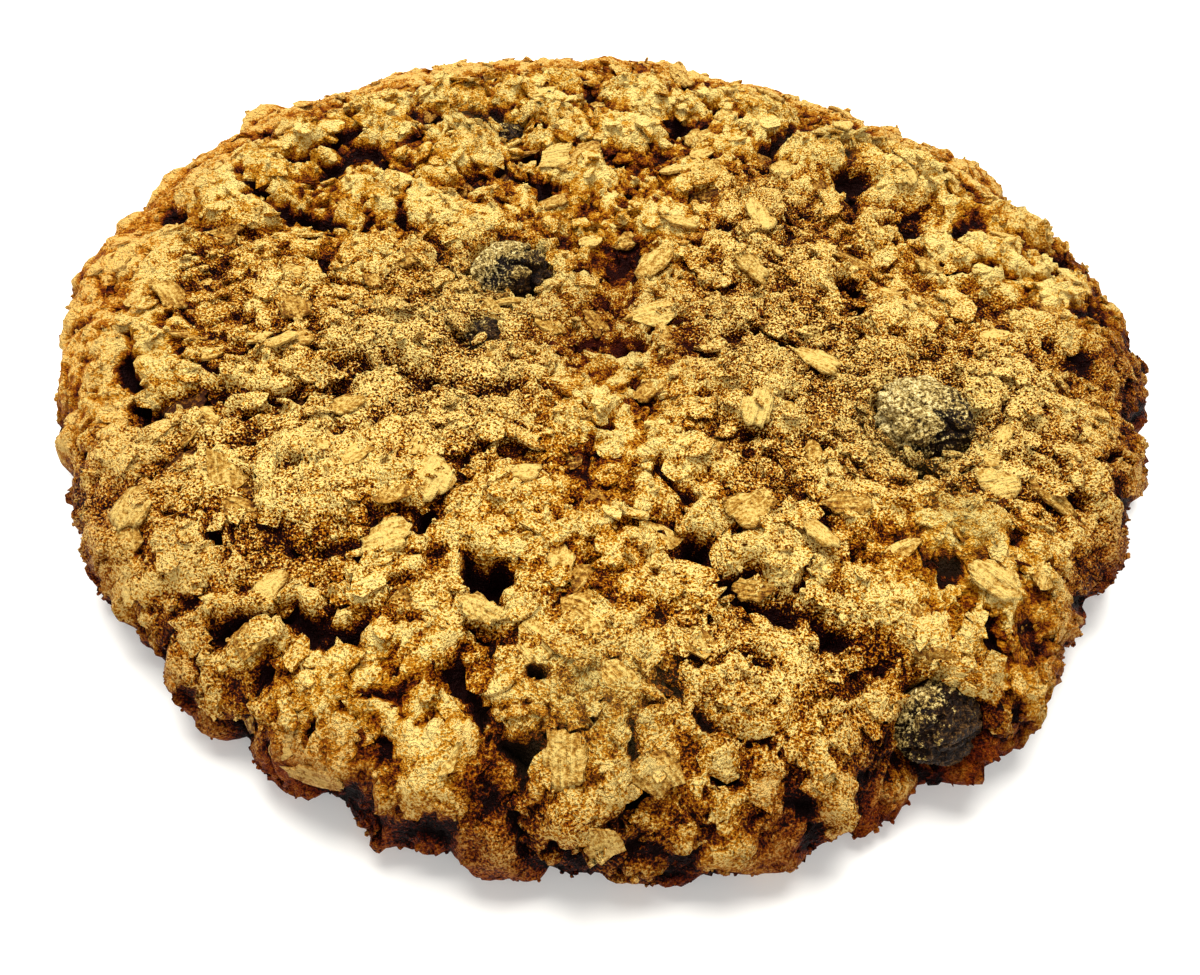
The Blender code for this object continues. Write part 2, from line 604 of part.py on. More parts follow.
def centre(items, measured):
    """Moves everything so that one object's plan is centred on the origin."""
    points = mesh_points(measured.data)
    middle = (points.max(axis=0) + points.min(axis=0)) / 2
    middle[2] = 0.0
    print("plan moved by", (-middle / MM).round(3), "mm")
    for item in items:
        set_points(item.data, mesh_points(item.data) - middle)


def main():
    clear_scene()
    parts = bpy.data.collections.new(NAME)
    cutters = bpy.data.collections.new("cutters")
    flakes = bpy.data.collections.new("flakes")
    for collection in (parts, cutters, flakes):
        bpy.context.scene.collection.children.link(collection)
    dough_material = make_material("dough", DOUGH_COLOUR, 0.85)
    raisin_material = make_material("raisin", RAISIN_COLOUR, 0.5)

    cookie = bake_dough(parts)
    tree = BVHTree.FromObject(cookie, bpy.context.evaluated_depsgraph_get())
    scatter_flakes(tree, flakes)
    combine(cookie, flakes, "UNION")
    for name, spec in RAISINS.items():
        make_pocket(name, spec, cutters)
    combine(cookie, cutters, "DIFFERENCE")
    keep_main_shell(cookie)
    flatten_foot(cookie)
    cookie.data.materials.clear()
    cookie.data.materials.append(dough_material)

    raisins = [make_raisin(name, spec, parts) for name, spec in RAISINS.items()]
    for raisin in raisins:
        raisin.data.materials.clear()
        raisin.data.materials.append(raisin_material)
    centre([cookie, *raisins], cookie)
    for item in (cookie, *raisins):
        print(item.name, len(item.data.polygons), "faces")


main()
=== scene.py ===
"""Looks of an oatmeal raisin cookie, laid out as an add-on: craggy dough, oat flakes, crumbs and
wrinkled raisins on a plain pale ground.

Lengths are in millimetres and become metres when a mesh is made. Spots on the crust are noted
where a line from EYE meets the level NOTED_LEVEL; true_place moves such a spot along that line to
its height. The crags, clefts, holes, raisins and flakes have the sizes and places that the solids
have.
"""

import itertools
import math

import bpy
import numpy as np
from mathutils import Matrix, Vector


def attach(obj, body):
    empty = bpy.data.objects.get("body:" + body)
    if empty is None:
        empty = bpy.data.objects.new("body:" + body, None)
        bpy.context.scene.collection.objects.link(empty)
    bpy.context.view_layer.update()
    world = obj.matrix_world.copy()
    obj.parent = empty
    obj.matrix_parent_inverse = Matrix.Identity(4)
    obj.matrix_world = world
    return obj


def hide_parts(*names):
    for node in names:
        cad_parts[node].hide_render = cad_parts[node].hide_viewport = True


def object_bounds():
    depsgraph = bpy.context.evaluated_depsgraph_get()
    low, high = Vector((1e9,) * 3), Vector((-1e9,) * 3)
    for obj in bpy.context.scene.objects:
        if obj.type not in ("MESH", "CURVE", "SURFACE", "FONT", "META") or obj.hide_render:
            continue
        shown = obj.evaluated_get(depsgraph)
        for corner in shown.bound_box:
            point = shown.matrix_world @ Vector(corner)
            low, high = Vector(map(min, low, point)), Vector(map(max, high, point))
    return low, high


bl_info = {
    "name": "Oatmeal Raisin Cookie",
    "version": (1, 0, 0),
    "blender": (4, 5, 0),
    "location": "View3D > Sidebar > Cookie",
    "description": "Builds a baked oat cookie with flakes, crumbs and raisins",
    "category": "Add Mesh",
}

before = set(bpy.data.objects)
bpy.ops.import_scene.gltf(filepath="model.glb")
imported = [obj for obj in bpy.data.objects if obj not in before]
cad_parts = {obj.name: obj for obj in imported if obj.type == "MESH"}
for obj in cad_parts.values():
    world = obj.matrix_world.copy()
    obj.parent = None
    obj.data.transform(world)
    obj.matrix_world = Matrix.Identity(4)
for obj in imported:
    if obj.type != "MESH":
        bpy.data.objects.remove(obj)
CAD_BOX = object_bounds()
MM = 0.001

# The round of dough under its crags.
RADIUS = 54.2
CRUST = 10.8
SHOULDER_POWER = 4.6
FOOT_TUCK = 1.5
FOOT_RISE = 2.6
PROFILE_POINTS = 1500
OUTERMOST = 0.995
ON_GROUND = 1e-6
# Waves round the outline: count, amplitude, and the bearing in degrees of a crest.
OUTLINE_WAVES = ((1, 1.07, 102.0), (2, 0.3, 90.0), (3, 1.1, 27.0), (4, 0.6, 11.0))
# Dents in the outline, and bumps where the depth is under 0: bearing and half width in degrees,
# then depth.
OUTLINE_DENTS = (
    (-178, 7, -1.5), (-152, 5, 1.0), (-94, 3, 0.8), (-76, 3, 0.6), (-62, 6, 1.8), (-50, 6, -1.4),
    (-35, 6, 0.9), (1, 5, -2.0), (18, 4, -1.1), (27, 3, 1.0), (40, 6, -3.2), (57, 4, 0.6),
    (76, 5, 1.2), (92, 5, -1.8), (121, 6, -1.5), (144, 4, -1.5), (152, 8, -1.3),
)  # fmt: skip

# Spots are noted from NOTED_FROM on the level NOTED_LEVEL, as they line up from EYE.
EYE = (0.1, -80.6, 74.7)
NOTED_LEVEL = 12.0
NOTED_FROM = (-0.4, -3.8)
# How far everything is moved so that the cookie's plan is centred.
PLAN_MOVE = (0.011, -1.186, 0.0)

# Crags that make up the raised rim: noted x, y, radius, height over the crust.
RIM_CRAGS = (
    (-42, 21, 8.0, 4.2), (-37, 28, 5.5, 4.4), (-30, 36, 6.0, 4.8), (-22, 42, 5.0, 4.6),
    (-16, 45, 5.0, 4.4), (-10, 38, 6.5, 4.6), (-19, 32, 5.5, 4.6), (-11, 47, 4.5, 3.6),
    (1, 47, 6.0, 4.6), (9, 45, 5.5, 4.7), (16, 44, 6.0, 4.7), (0, 38, 5.5, 4.0),
    (12, 37, 5.5, 4.2), (24, 36, 5.0, 5.0), (29, 39, 4.5, 4.4), (35, 35, 7.0, 5.4),
    (38, 28, 5.5, 4.2), (45, 26, 6.0, 3.8), (41, 17, 6.0, 4.0), (47, 15, 5.0, 3.4),
    (46, 5, 5.5, 2.4), (38, -3, 6.0, 2.8), (45, -7, 5.5, 2.4), (36, -12, 4.5, 2.4),
    (42, -15, 5.0, 2.4), (39, -24, 5.0, 2.4), (33, -28, 5.5, 2.4), (30, -36, 5.0, 1.8),
    (19, -42, 5.0, 2.0), (11, -39, 5.5, 2.2), (2, -40, 9.5, 3.0), (-9, -45, 5.5, 2.0),
    (-18, -44, 6.0, 2.0), (-26, -37, 6.5, 2.2), (-35, -30, 6.0, 2.4), (-40, -21, 6.0, 2.4),
    (-45, -9, 7.5, 2.6), (-46, 4, 6.5, 2.4), (-38, -13, 5.0, 2.2), (21.5, -43.5, 2.6, 3.2),
    (32, -40, 2.8, 2.8),
)  # fmt: skip
# Crags within the rim, noted the same way.
INNER_CRAGS = (
    (-33, 16, 4.0, 2.4), (-27, 18, 5.0, 3.0), (-21, 18, 5.5, 3.0), (-15, 15, 6.0, 3.2),
    (-22, 25, 5.0, 3.0), (10, 29, 6.5, 3.4), (15, 23, 5.5, 3.4), (13, 15, 5.5, 3.2),
    (4, 17, 5.0, 2.6), (21, 28, 5.5, 3.4), (28, 21, 5.0, 3.4), (34, 19, 5.0, 2.8),
    (22, 12, 5.0, 2.6), (30, 4, 6.0, 2.6), (-5, 26, 6.0, 3.0), (-33, 2, 6.5, 2.6),
    (-22, -5, 7.0, 3.4), (-24, 7, 5.0, 2.2), (-31, -13, 6.0, 2.6), (-21, -21, 9.0, 3.2),
    (-31, -26, 5.0, 2.4), (-7, -24, 6.5, 2.8), (0, -14, 5.5, 2.6), (8, -18, 6.0, 2.8),
    (13, -8, 7.5, 3.2), (14, -26, 6.0, 2.8), (1, -27, 5.0, 2.4), (6, -33, 5.5, 2.4),
    (24, -31, 6.5, 2.6), (22, -21, 5.0, 2.4), (-14, -34, 6.0, 2.2), (31, -21, 5.0, 3.0),
    (-10, -7, 4.0, 1.6), (14, 3, 5.5, 2.4), (3, 2, 5.0, 1.4), (-3, 12, 4.0, 1.8),
)  # fmt: skip
# How far a crag reaches past its noted radius, and the power of its edge.
CRAG_SPREAD = 1.14
CRAG_EDGE = 0.74
BLEND_POWER = 6.0
# How high over the bare crust the valleys between crags lie, and the heights of crust over which
# that fades in up the wall.
VALLEY = 1.3
VALLEY_LEVELS = (5.0, 9.0)

# Smaller crags filled in over the crust and round the wall.
FILL_SEED = 7
FILL_PITCH = 7.0
FILL_JITTER = 1.8
FILL_MARGIN = 3.0
FILL_RADIUS = (2.8, 5.0)
FILL_HEIGHT = (0.9, 2.1)
WALL_RADIUS = (2.4, 4.6)
WALL_HEIGHT = (0.8, 2.4)
WALL_PITCH = 5.6
WALL_LEVELS = (2.6, 6.6)
WALL_JITTER = 0.9

# Clefts between crags: noted points, half width, depth.
CLEFTS = (
    (((-36, 17), (-33, 21), (-29, 25)), 1.9, 4.2),
    (((-34, 34), (-32, 29), (-29, 25)), 1.0, 3.0),
    (((-23, 35), (-24, 27)), 1.2, 3.4),
    (((-17, 30), (-14, 29), (-10, 28)), 1.6, 4.0),
    (((-11, 34), (-5, 32), (4, 31.5), (9, 34)), 1.5, 2.6),
    (((19, 40), (22, 41)), 1.2, 2.6),
    (((28, 33), (29, 29), (33, 25)), 1.7, 4.0),
    (((37, 31), (34.5, 24), (38, 21), (41, 24)), 1.2, 3.0),
    (((25, 24), (23.5, 15)), 1.3, 2.6),
    (((27, 17), (30, 16.5)), 1.8, 3.4),
    (((11, 14), (12, 10), (16, 8)), 1.1, 2.6),
    (((34, 11), (40, 8), (45, 11)), 1.2, 2.6),
    (((-14, 22), (-9, 16)), 1.1, 2.2),
    (((-41, 15), (-37, 12), (-33, 9.5), (-27, 8)), 1.3, 3.0),
    (((-28, 3), (-26, -1), (-23, -1)), 1.0, 2.0),
    (((-43, -15), (-38, -19), (-31, -17), (-25, -17), (-22, -13)), 1.4, 3.4),
    (((-20, -12), (-15, -13), (-9, -14)), 1.5, 3.2),
    (((-10, -19), (-12, -28)), 1.0, 2.2),
    (((-27, -27), (-22, -31), (-17, -33)), 1.1, 2.4),
    (((-27, -39), (-20, -39), (-16, -39)), 1.4, 3.0),
    (((-9, -40), (-6, -44), (-3, -47)), 1.2, 2.6),
    (((-4, -5), (3, -4.5)), 1.2, 2.4),
    (((11, -3.5), (17, -3), (23, -7)), 1.0, 2.4),
    (((4, -11), (4, -15)), 0.9, 2.0),
    (((7, -29), (12, -32), (17, -35)), 1.7, 3.8),
    (((5, -22), (7, -26)), 0.9, 2.0),
    (((32, -32), (34, -37)), 1.2, 2.6),
    (((41, -20), (37, -21)), 1.3, 3.0),
    (((43, -0.5), (46, -1.5)), 1.1, 2.4),
)  # fmt: skip
CLEFT_SPREAD = 1.15
CLEFT_EDGE = 1.4
CLEFT_SHARE = 0.85
# How clefts deepen and fade along their length: cell size, least share of the depth, seed.
CLEFT_BREAKS = (3.6, 0.4, 37)
# Heights between which clefts and holes fade out down the wall.
CUT_LEVELS = (4.0, 7.0)
# Round holes: noted x, y, radius, depth.
HOLES = (
    (-24, 41, 1.6, 2.4), (-3, 44, 1.5, 2.2), (-7.5, -33, 2.0, 3.4), (-20.5, -38.5, 1.6, 2.6),
    (12, -45.5, 1.3, 2.0), (27, -17, 1.5, 2.6), (3, -4.5, 1.2, 2.0), (-38, 12, 1.3, 2.0),
    (23, 6, 1.4, 2.0), (-28, -32.5, 1.2, 2.0), (9, 35, 1.4, 2.2), (18.5, -16, 1.3, 2.0),
)  # fmt: skip
HOLE_STEEPNESS = 1.6
# Broad hollows: noted x, y, half width, half length, bearing of the length in degrees, depth.
HOLLOWS = ((0, 7, 3.4, 7.5, 90, 1.8), (0, -5, 7.0, 4.5, 0, 1.2), (-11.5, 4.5, 5.0, 5.5, 0, 1.3))
HOLLOW_LEVEL = 6.0

# Raisins: noted x and y, height, half sizes, then tilt about X and turn about Z in degrees, and
# seed.
RAISINS = {
    "raisin_centre": ((-10.5, 4.3, 10.9), (4.4, 4.3, 3.0), (-12, 20), 3),
    "raisin_right": ((29.0, -11.0, 11.5), (4.7, 4.3, 3.1), (8, -25), 5),
    "raisin_front": ((25.7, -41.7, 6.7), (3.7, 3.4, 2.8), (50, 32), 8),
    "raisin_small": ((-11.5, -6.3, 10.0), (2.9, 2.6, 2.2), (-10, 50), 13),
    "raisin_back": ((-14.2, 27.6, 10.9), (3.6, 2.6, 2.6), (-22, 10), 21),
}
# Raisin creases follow the zero lines of a noise over the unit ball: shares of its axes that make
# them run lengthways, bend of the ball as cell size and reach, then for each kind of crease cell
# size, half width in noise, depth, and how much it adds to the raisin's seed.
RAISIN_GRAIN = (0.6, 1.0, 1.0)
RAISIN_BEND = (0.7, 0.25)
BROAD_CREASE = (0.46, 0.30, 0.20, 5)
FINE_CREASE = (0.22, 0.4, 0.09, 9)
FINEST_CREASE = (0.13, 0.45, 0.05, 12)
BROAD_EDGE = 1.4
# Grain of the skin: cell size, height, and what it adds to the seed.
SKIN_GRAIN = (0.07, 0.02, 15)
# How much broad, fine and finest creases count for how ridged a spot is.
RIDGE_SHARES = (0.45, 0.3, 0.25)
RAISIN_BANDS = 90
RAISIN_SIDES = 120
POCKET_GAP = 0.38
RAISIN_CLEARANCE = 1.4
# How much flour and sugar dusting covers each raisin, and painted light: a paler cover growing to
# the left, back and top.
RAISIN_DUST = {
    "raisin_centre": 0.70, "raisin_right": 1.00, "raisin_front": 0.10,
    "raisin_small": -0.10, "raisin_back": 0.10,
}  # fmt: skip
DUST_AND_LIGHT_LEAN = (-0.85, 0.40, 0.25)

# Oat flakes that stand out: noted x, y, length, width, turn about Z in degrees.
LARGE_FLAKES = (
    (-5, 26, 7.4, 3.6, 60), (-12, 22.5, 6.0, 4.0, 75), (-7.5, 19, 4.2, 3.6, 20),
    (4, 9.5, 6.6, 3.2, 66), (9, 21.5, 4.4, 2.8, 10), (25, 12.5, 6.0, 1.8, -18),
    (-43, -2, 6.2, 2.4, -48), (-27, -14, 5.2, 3.4, 12), (-37, -28, 4.4, 3.4, 70),
    (-24, -42.5, 5.4, 2.6, 80), (-18, -48, 5.0, 2.0, 8), (-1, -13.5, 4.4, 3.2, 25),
    (13.5, -13, 4.4, 3.0, 80), (21.5, -22, 3.8, 2.8, 0), (13, -24, 4.4, 3.6, 40),
    (18.5, -26, 3.6, 2.6, 130), (40.5, -17, 5.4, 2.0, -38), (35.5, -17, 4.2, 3.2, 20),
    (28, -35, 5.2, 2.0, -44), (31, -2, 4.4, 3.2, 30), (0, -46, 4.0, 3.6, 90),
    (-29, -25, 4.2, 3.0, 35), (15, 17, 4.4, 3.4, 110), (-41, 8, 4.8, 3.2, 15),
)  # fmt: skip
FLAKE_LEVEL = CRUST + 2.0
# Smaller ones spread between them: seed, number, lengths, widths as shares of length, how far out,
# and how far apart as a share of their sizes.
SMALL_SEED = 19
SMALL_FLAKES = 34
SMALL_LENGTH = (2.8, 4.6)
SMALL_WIDTH = (0.55, 0.8)
SMALL_REACH = 46.0
FLAKE_SPACING = 1.15

# Random values to draw on, what spreads the cells of a lattice over them, and the part of a cell
# that its strewn point lies in.
NOISE_TABLE = 4096
NOISE_PRIMES = (73856093, 19349663, 83492791)
SEED_SPAN = (0.1, 0.9)
# How far the crags' edges wander: cell size, reach, seed.
WANDER = ((8.0, 1.9, 11), (3.2, 0.75, 23), (1.4, 0.2, 29))
# How much more ragged the crags' edges are at a finer scale than the solids have.
RAGGED = ((2.1, 0.66, 151), (1.0, 0.20, 157))
# How far the sides of clefts and holes wander beyond that, and the crust's low waves: the same.
TEAR = (2.1, 0.8, 33)
GRAIN = ((2.4, 0.26, 31),)

# Fine relief of the crust, about this level.
LIFT = -0.15
# Flaky plates: cell size, height range, lean, seed; and how domed each is, as a share of height.
PLATES = ((4.4, 0.44, 0.32, 41), (2.2, 0.38, 0.36, 43))
PLATE_DOME = 0.2
# How plates, cracks and pits are bent out of line: cell size, reach, seed.
BEND = ((2.8, 0.9, 89), (0.9, 0.3, 95))
# Little scarps down a sloping noise: cell size, steps, height, seed; then where in a step the scarp
# begins, its width, and the share of a step that lies under the slope.
TERRACE = (4.6, 2.6, 0.26, 47)
SCARP = (0.7, 0.3, 0.35)
# Ripples: cell size, height, seed. Sandy grain: spread of heights, seed.
RIPPLE = ((1.5, 0.10, 53), (0.8, 0.08, 59))
SAND = (0.045, 97)
# Sideways shifts of the finished crust: cell size, reach, seed.
JOSTLE = ((2.4, 0.30, 61), (1.2, 0.12, 67))
# Fine cracks follow the zero lines of a noise: cell size, half width in noise, depth, seed.
CRACKS = ((6.4, 0.06, 1.1, 71), (3.6, 0.06, 0.6, 73))
# Where there are cracks: slope and middle of a noise twice as broad.
CRACKED = (1.5, 0.5)
# Small pits, one to a cell at most: cell size, share of cells, radius, depth, seed.
PITS = ((5.2, 0.34, 1.1, 2.5, 79), (2.5, 0.20, 0.55, 1.4, 83))
PIT_STEEPNESS = 1.5
# Share of the fine relief that is left at the foot, and that the rim goes without.
FOOT_SHARE = 0.1
RIM_CALM = 0.35
# The rim: share of RADIUS and levels between which it fades in.
RIM_REACH = (0.78, 0.94)
RIM_LEVELS = (2.0, 6.0)
# The way to the calmest side of the rim, over the cookie's radius.
RIM_LEAN = (-0.5, 0.8)
# How hollow a spot is: blurs of the relief as grid cells and share, and the range that is kept.
# Materials darken hollows, lighten crests by it: partly browning, partly painted shade and light.
HOLLOW_BLURS = ((3, 1.0), (9, 0.50), (20, 0.12))
HOLLOW_RANGE = (-0.42, 1.8)
# Grid cells over which the crust's normals are blurred, and the level over which it is the top.
NORMAL_BLUR = 4
UPPER_LEVEL = 5.0
# Where the crust is sugary and crackled rather than smooth: mean, cell size, share by noise, seed,
# then the reach or y between which that lessens towards the rim and the back, and by how much.
SUGAR = (0.72, 15.0, 0.8, 113)
SUGAR_RIM = (0.72, 0.96, 0.5)
SUGAR_BACK = (-10.0, 16.0, 0.7)
# Toast towards the rim: where it starts and is full, strength. Down the wall: level where it is
# full, height over which it fades, how far a hollow lowers that level, strength. Patches: cell
# size, share, seed. Then the share of it all that the rim goes without.
TOAST_REACH = (0.72, 0.97, 0.26)
# TOAST_WALL's hollow term deepens toast in hollows, thins it on crests: painted shade and light.
TOAST_WALL = (0.8, 9.0, 0.7, 0.95)
TOAST_PATCHES = (5.0, 0.7, 131)
# Sparing the rim most toast lightens it, partly as painted light for a rim lit less than the top.
TOAST_RIM = 0.88
# Share of the strewn flakes and crumbs that the rim goes without.
RIM_BARE = 0.6

# Flakes strewn over the crust: name, length, width over length, lean, sink, deepest hollow and
# lowest level, none for those that lie round the raisins, least share of the outline's reach,
# sides, seed. Then their rings, and their gap to a raisin.
STREWN_FLAKES = (
    ("oat_flakes_medium", (2.2, 4.4), (0.5, 0.9), 0.16, (0.0, 0.30), 0.6, 5.5, 0.70, 10, 113),
    ("dough_flakes", (1.8, 4.0), (0.5, 0.95), 0.24, (-0.10, 0.26), 0.9, 6.5, 0.60, 9, 127),
    ("dough_bits", (0.8, 2.2), (0.5, 1.0), 0.50, (-0.20, 0.12), 1.1, 4.6, 0.55, 8, 139),
    ("raisin_collars", (1.2, 2.8), (0.5, 0.9), 0.30, (-0.20, 0.05), None, None, 0.55, 8, 163),
)
STREWN_RINGS = 2
STREWN_GAP = -0.7
# The large flakes: rings, sides, least share of the outline's reach, lean, rise, and seeds of their
# lean and edges.
LARGE_FLAKE = (5, 22, 0.80, 0.10, 0.22, 107, 109)
FLAKE_REACH = 1.14
# Waves round a flake's edge: count, amplitude.
FLAKE_WAVES = ((2, 0.09), (3, 0.08), (5, 0.06))
# Width of a flake of full thickness, and the least share of that.
FLAKE_FULL_WIDTH = 3.0
FLAKE_THIN = 0.45
# Groove along a flake: depth, share of the width.
FLAKE_GROOVE = (0.14, 0.10)
# Heights of a flake's brow and crown, how rounded its edge is, depths of its lower edge and keel,
# share of its outline that the lower edge has, and how browned the keel is.
FLAKE_BROW = 0.12
FLAKE_CROWN = 0.22
FLAKE_ROUNDING = 0.8
FLAKE_LOW = -0.22
FLAKE_KEEL = -0.26
FLAKE_UNDER = 0.94
KEEL_EDGE = 0.6
# Ranges of a flake's curl, the waves' phases and the fibres' places, and spread of its points.
FLAKE_CURL = 0.9
FLAKE_PHASES = 6.3
FIBRE_OFFSETS = 40.0
FLAKE_NOISE = 0.035
# Down the wall, between these levels, flakes lean by this share and sink by this much more.
WALL_FLAKES = (6.0, 10.0)
WALL_TILT = 0.12
WALL_SINK = 0.26
# Where flakes lap over a raisin's edge: reach from its middle as a share of its pocket, and how
# low. One raisin has none.
COLLAR = (1.0, 1.22)
COLLAR_LOWEST = -0.1
BARE_RAISIN = "raisin_small"

# Crumbs: bands, sides, seeds of their shape and places, deepest hollow, lowest level, gap to a
# raisin, smallest half size, power that makes small ones common, ranges of their radius and
# stretch, and rise as a share of size.
CRUMB_BANDS = 4
CRUMB_SIDES = 6
CRUMB_SEEDS = (101, 103)
CRUMB_LIMITS = (0.9, 1.2, -0.2)
CRUMB_SMALLEST = 0.12
CRUMB_POWER = 2.2
CRUMB_ROUGH = (0.68, 1.2)
CRUMB_STRETCH = (0.6, 1.25)
CRUMB_RISE = 0.15

# Raisins, buried ones too, that tint the crust round them: noted x, y, reach; then how strongly,
# how high they lie over the bare crust, and how steeply the tint fades.
GREY_SPOTS = (
    (31, -21, 3.4), (24, 36, 3.6), (-19, 32, 3.2), (2, -40, 5.0), (29, -11, 5.4), (-12, 5.5, 4.8),
)  # fmt: skip
GREY_STRENGTH = 0.62
GREY_RISE = 3.0
GREY_FADE = 1.2
# A redder hollow in the middle: noted x, y, reach, strength.
RED_HOLLOW = (0.0, -3.0, 8.5, 0.8)

# Points along each side of the crust's grid, and rings that close it underneath.
GRID = 291
FOOT_RINGS = 4
# The camera looks from EYE: its right, up and backward directions.
VIEW_RIGHT = (0.9954, 0.0724, 0.0622)
VIEW_UP = (-0.0955, 0.7552, 0.6485)
VIEW_BACK = (0.0, -0.6515, 0.7587)
# Its lens and sensor in millimetres, and the nearest that it sees in metres.
LENS = 30.0
SENSOR = 36.0
CLIP_START = 0.005
# How far inside the solids' box every piece stays.
BOX_MARGIN = 0.02
# The stage: half width of the floor in millimetres, then in metres what the lights aim at, which
# way their upper edges lie, and their places, sizes and colours.
FLOOR_REACH = 1500.0
LIGHT_AIM = (0.0, 0.0, 0.01)
LIGHT_UP = (0.0, 1.0, 0.001)
MAIN_LIGHT = ((-0.10, 0.45, 1.10), 0.8, (1.0, 0.97, 0.90))
FILL_LIGHT = ((0.05, -0.35, 0.30), 0.30, (1.0, 0.99, 0.97))
SKY_COLOUR = (1.0, 0.97, 0.91, 1.0)
SKY_STRENGTH = 0.42


def smooth_step(value):
    """Eases a value from 0 to 1: 3v squared less 2v cubed."""
    value = np.clip(value, 0.0, 1.0)
    return value * value * (3.0 - 2.0 * value)


def fade_in(value, low, high):
    """Eases from 0 at one value to 1 at a higher one."""
    return smooth_step((value - low) / (high - low))


def cell_keys(cells):
    """A table place for each cell of a lattice."""
    keys = cells * NOISE_PRIMES
    return (keys[:, 0] ^ keys[:, 1] ^ keys[:, 2]) % NOISE_TABLE


def value_noise(points, cell, seed):
    """Smooth random field from -1 to 1: eased blend of the random values at a lattice's corners."""
    table = np.random.default_rng(seed).uniform(-1.0, 1.0, NOISE_TABLE)
    scaled = points / cell
    corner = np.floor(scaled).astype(np.int64)
    ease = smooth_step(scaled - corner)
    total = np.zeros(len(points))
    for step in itertools.product((0, 1), repeat=3):
        weight = np.prod(np.where(step, ease, 1.0 - ease), axis=1)
        total += weight * table[cell_keys(corner + step)]
    return total


def vector_noise(points, cell, seed):
    """Three smooth random fields side by side."""
    return np.stack([value_noise(points, cell, seed + axis) for axis in range(3)], axis=1)


def nearest_seed(points, cell, seed):
    """Distance, in cells, to the nearest of points strewn one to a cell, that point's own value,
    and the height of a tilted plane through it."""
    rng = np.random.default_rng(seed)
    spots = rng.uniform(*SEED_SPAN, (NOISE_TABLE, 3))
    values = rng.uniform(0.0, 1.0, NOISE_TABLE)
    slopes = rng.normal(0.0, 1.0, (NOISE_TABLE, 3))
    scaled = points / cell
    corner = np.floor(scaled).astype(np.int64)
    best = np.full(len(points), np.inf)
    value = np.zeros(len(points))
    plane = np.zeros(len(points))
    for step in itertools.product((-1, 0, 1), repeat=3):
        home = corner + step
        key = cell_keys(home)
        away = scaled - home - spots[key]
        gap = (away**2).sum(axis=1)
        closer = gap < best
        best = np.where(closer, gap, best)
        value = np.where(closer, values[key], value)
        plane = np.where(closer, (away * slopes[key]).sum(axis=1), plane)
    return np.sqrt(best), value, plane


def true_place(x, y, z):
    """The noted spot moved along its line from EYE to the height z."""
    share = (EYE[2] - z) / (EYE[2] - NOTED_LEVEL)
    level_x, level_y = x + NOTED_FROM[0], y + NOTED_FROM[1]
    return EYE[0] + (level_x - EYE[0]) * share, EYE[1] + (level_y - EYE[1]) * share


def outline_scale(bearing):
    """Radius of the outline at a bearing, over its mean: cosine waves less bell-shaped dents."""
    waves = sum(
        size * np.cos(count * (bearing - math.radians(crest)))
        for count, size, crest in OUTLINE_WAVES
    )
    for middle, half, depth in OUTLINE_DENTS:
        away = np.angle(np.exp(1j * (bearing - math.radians(middle)))) / math.radians(half)
        waves = waves - depth * np.exp(-(away**2))
    return 1.0 + waves / RADIUS


def crust_profile():
    """Half section of the bare round from the middle of its top to its foot, a rounded-square curve
    r = R sin(t)^(2/n), z = H cos(t)^(2/n): length along it, radius, height and outward normal."""
    turn = np.linspace(0.0, math.pi / 2.0, PROFILE_POINTS)
    radius = RADIUS * np.sin(turn) ** (2.0 / SHOULDER_POWER)
    height = CRUST * np.cos(turn) ** (2.0 / SHOULDER_POWER)
    height[-1] = 0.0
    radius = radius - FOOT_TUCK * np.clip(1.0 - height / FOOT_RISE, 0.0, 1.0) ** 2
    step_r = np.gradient(radius)
    step_z = np.gradient(height)
    upright = np.clip(step_r / np.hypot(step_r, step_z), 0.0, 1.0)
    upright = upright * smooth_step(height / FOOT_RISE)
    outward = np.sqrt(1.0 - upright**2)
    along = np.concatenate([[0.0], np.cumsum(np.hypot(np.diff(radius), np.diff(height)))])
    return along, radius, height, outward, upright


def disc_grid(side):
    """A square grid laid over a unit disc, square rings becoming circles: radius and bearing."""
    line = np.linspace(-1.0, 1.0, side)
    first, second = np.meshgrid(line, line, indexing="ij")
    wide = np.abs(first) >= np.abs(second)
    safe_first = np.where(first == 0.0, 1.0, first)
    safe_second = np.where(second == 0.0, 1.0, second)
    turn = np.where(
        wide,
        math.pi / 4.0 * second / safe_first,
        math.pi / 2.0 - math.pi / 4.0 * first / safe_second,
    )
    reach = np.where(wide, first, second)
    return np.abs(reach), np.where(reach < 0.0, turn + math.pi, turn)


def bare_crust(side):
    """The bare round's top and wall on a grid: places and outward directions."""
    along, radius, height, outward, upright = crust_profile()
    reach, bearing = disc_grid(side)
    reach, bearing = reach.ravel(), bearing.ravel()
    length = reach * along[-1]
    ring = np.interp(length, along, radius)
    level = np.interp(length, along, height)
    wide = ring * (1.0 + (outline_scale(bearing) - 1.0) * (ring / RADIUS) ** 2)
    places = np.stack([wide * np.cos(bearing), wide * np.sin(bearing), level], axis=1)
    out = np.interp(length, along, outward)
    up = np.interp(length, along, upright)
    facing = np.stack([out * np.cos(bearing), out * np.sin(bearing), up], axis=1)
    return places, facing


def bare_height(x, y):
    """Height of the bare round over a spot of the plan."""
    share = np.clip(math.hypot(x, y) / RADIUS, 0.0, OUTERMOST)
    return CRUST * (1.0 - share**SHOULDER_POWER) ** (1.0 / SHOULDER_POWER)


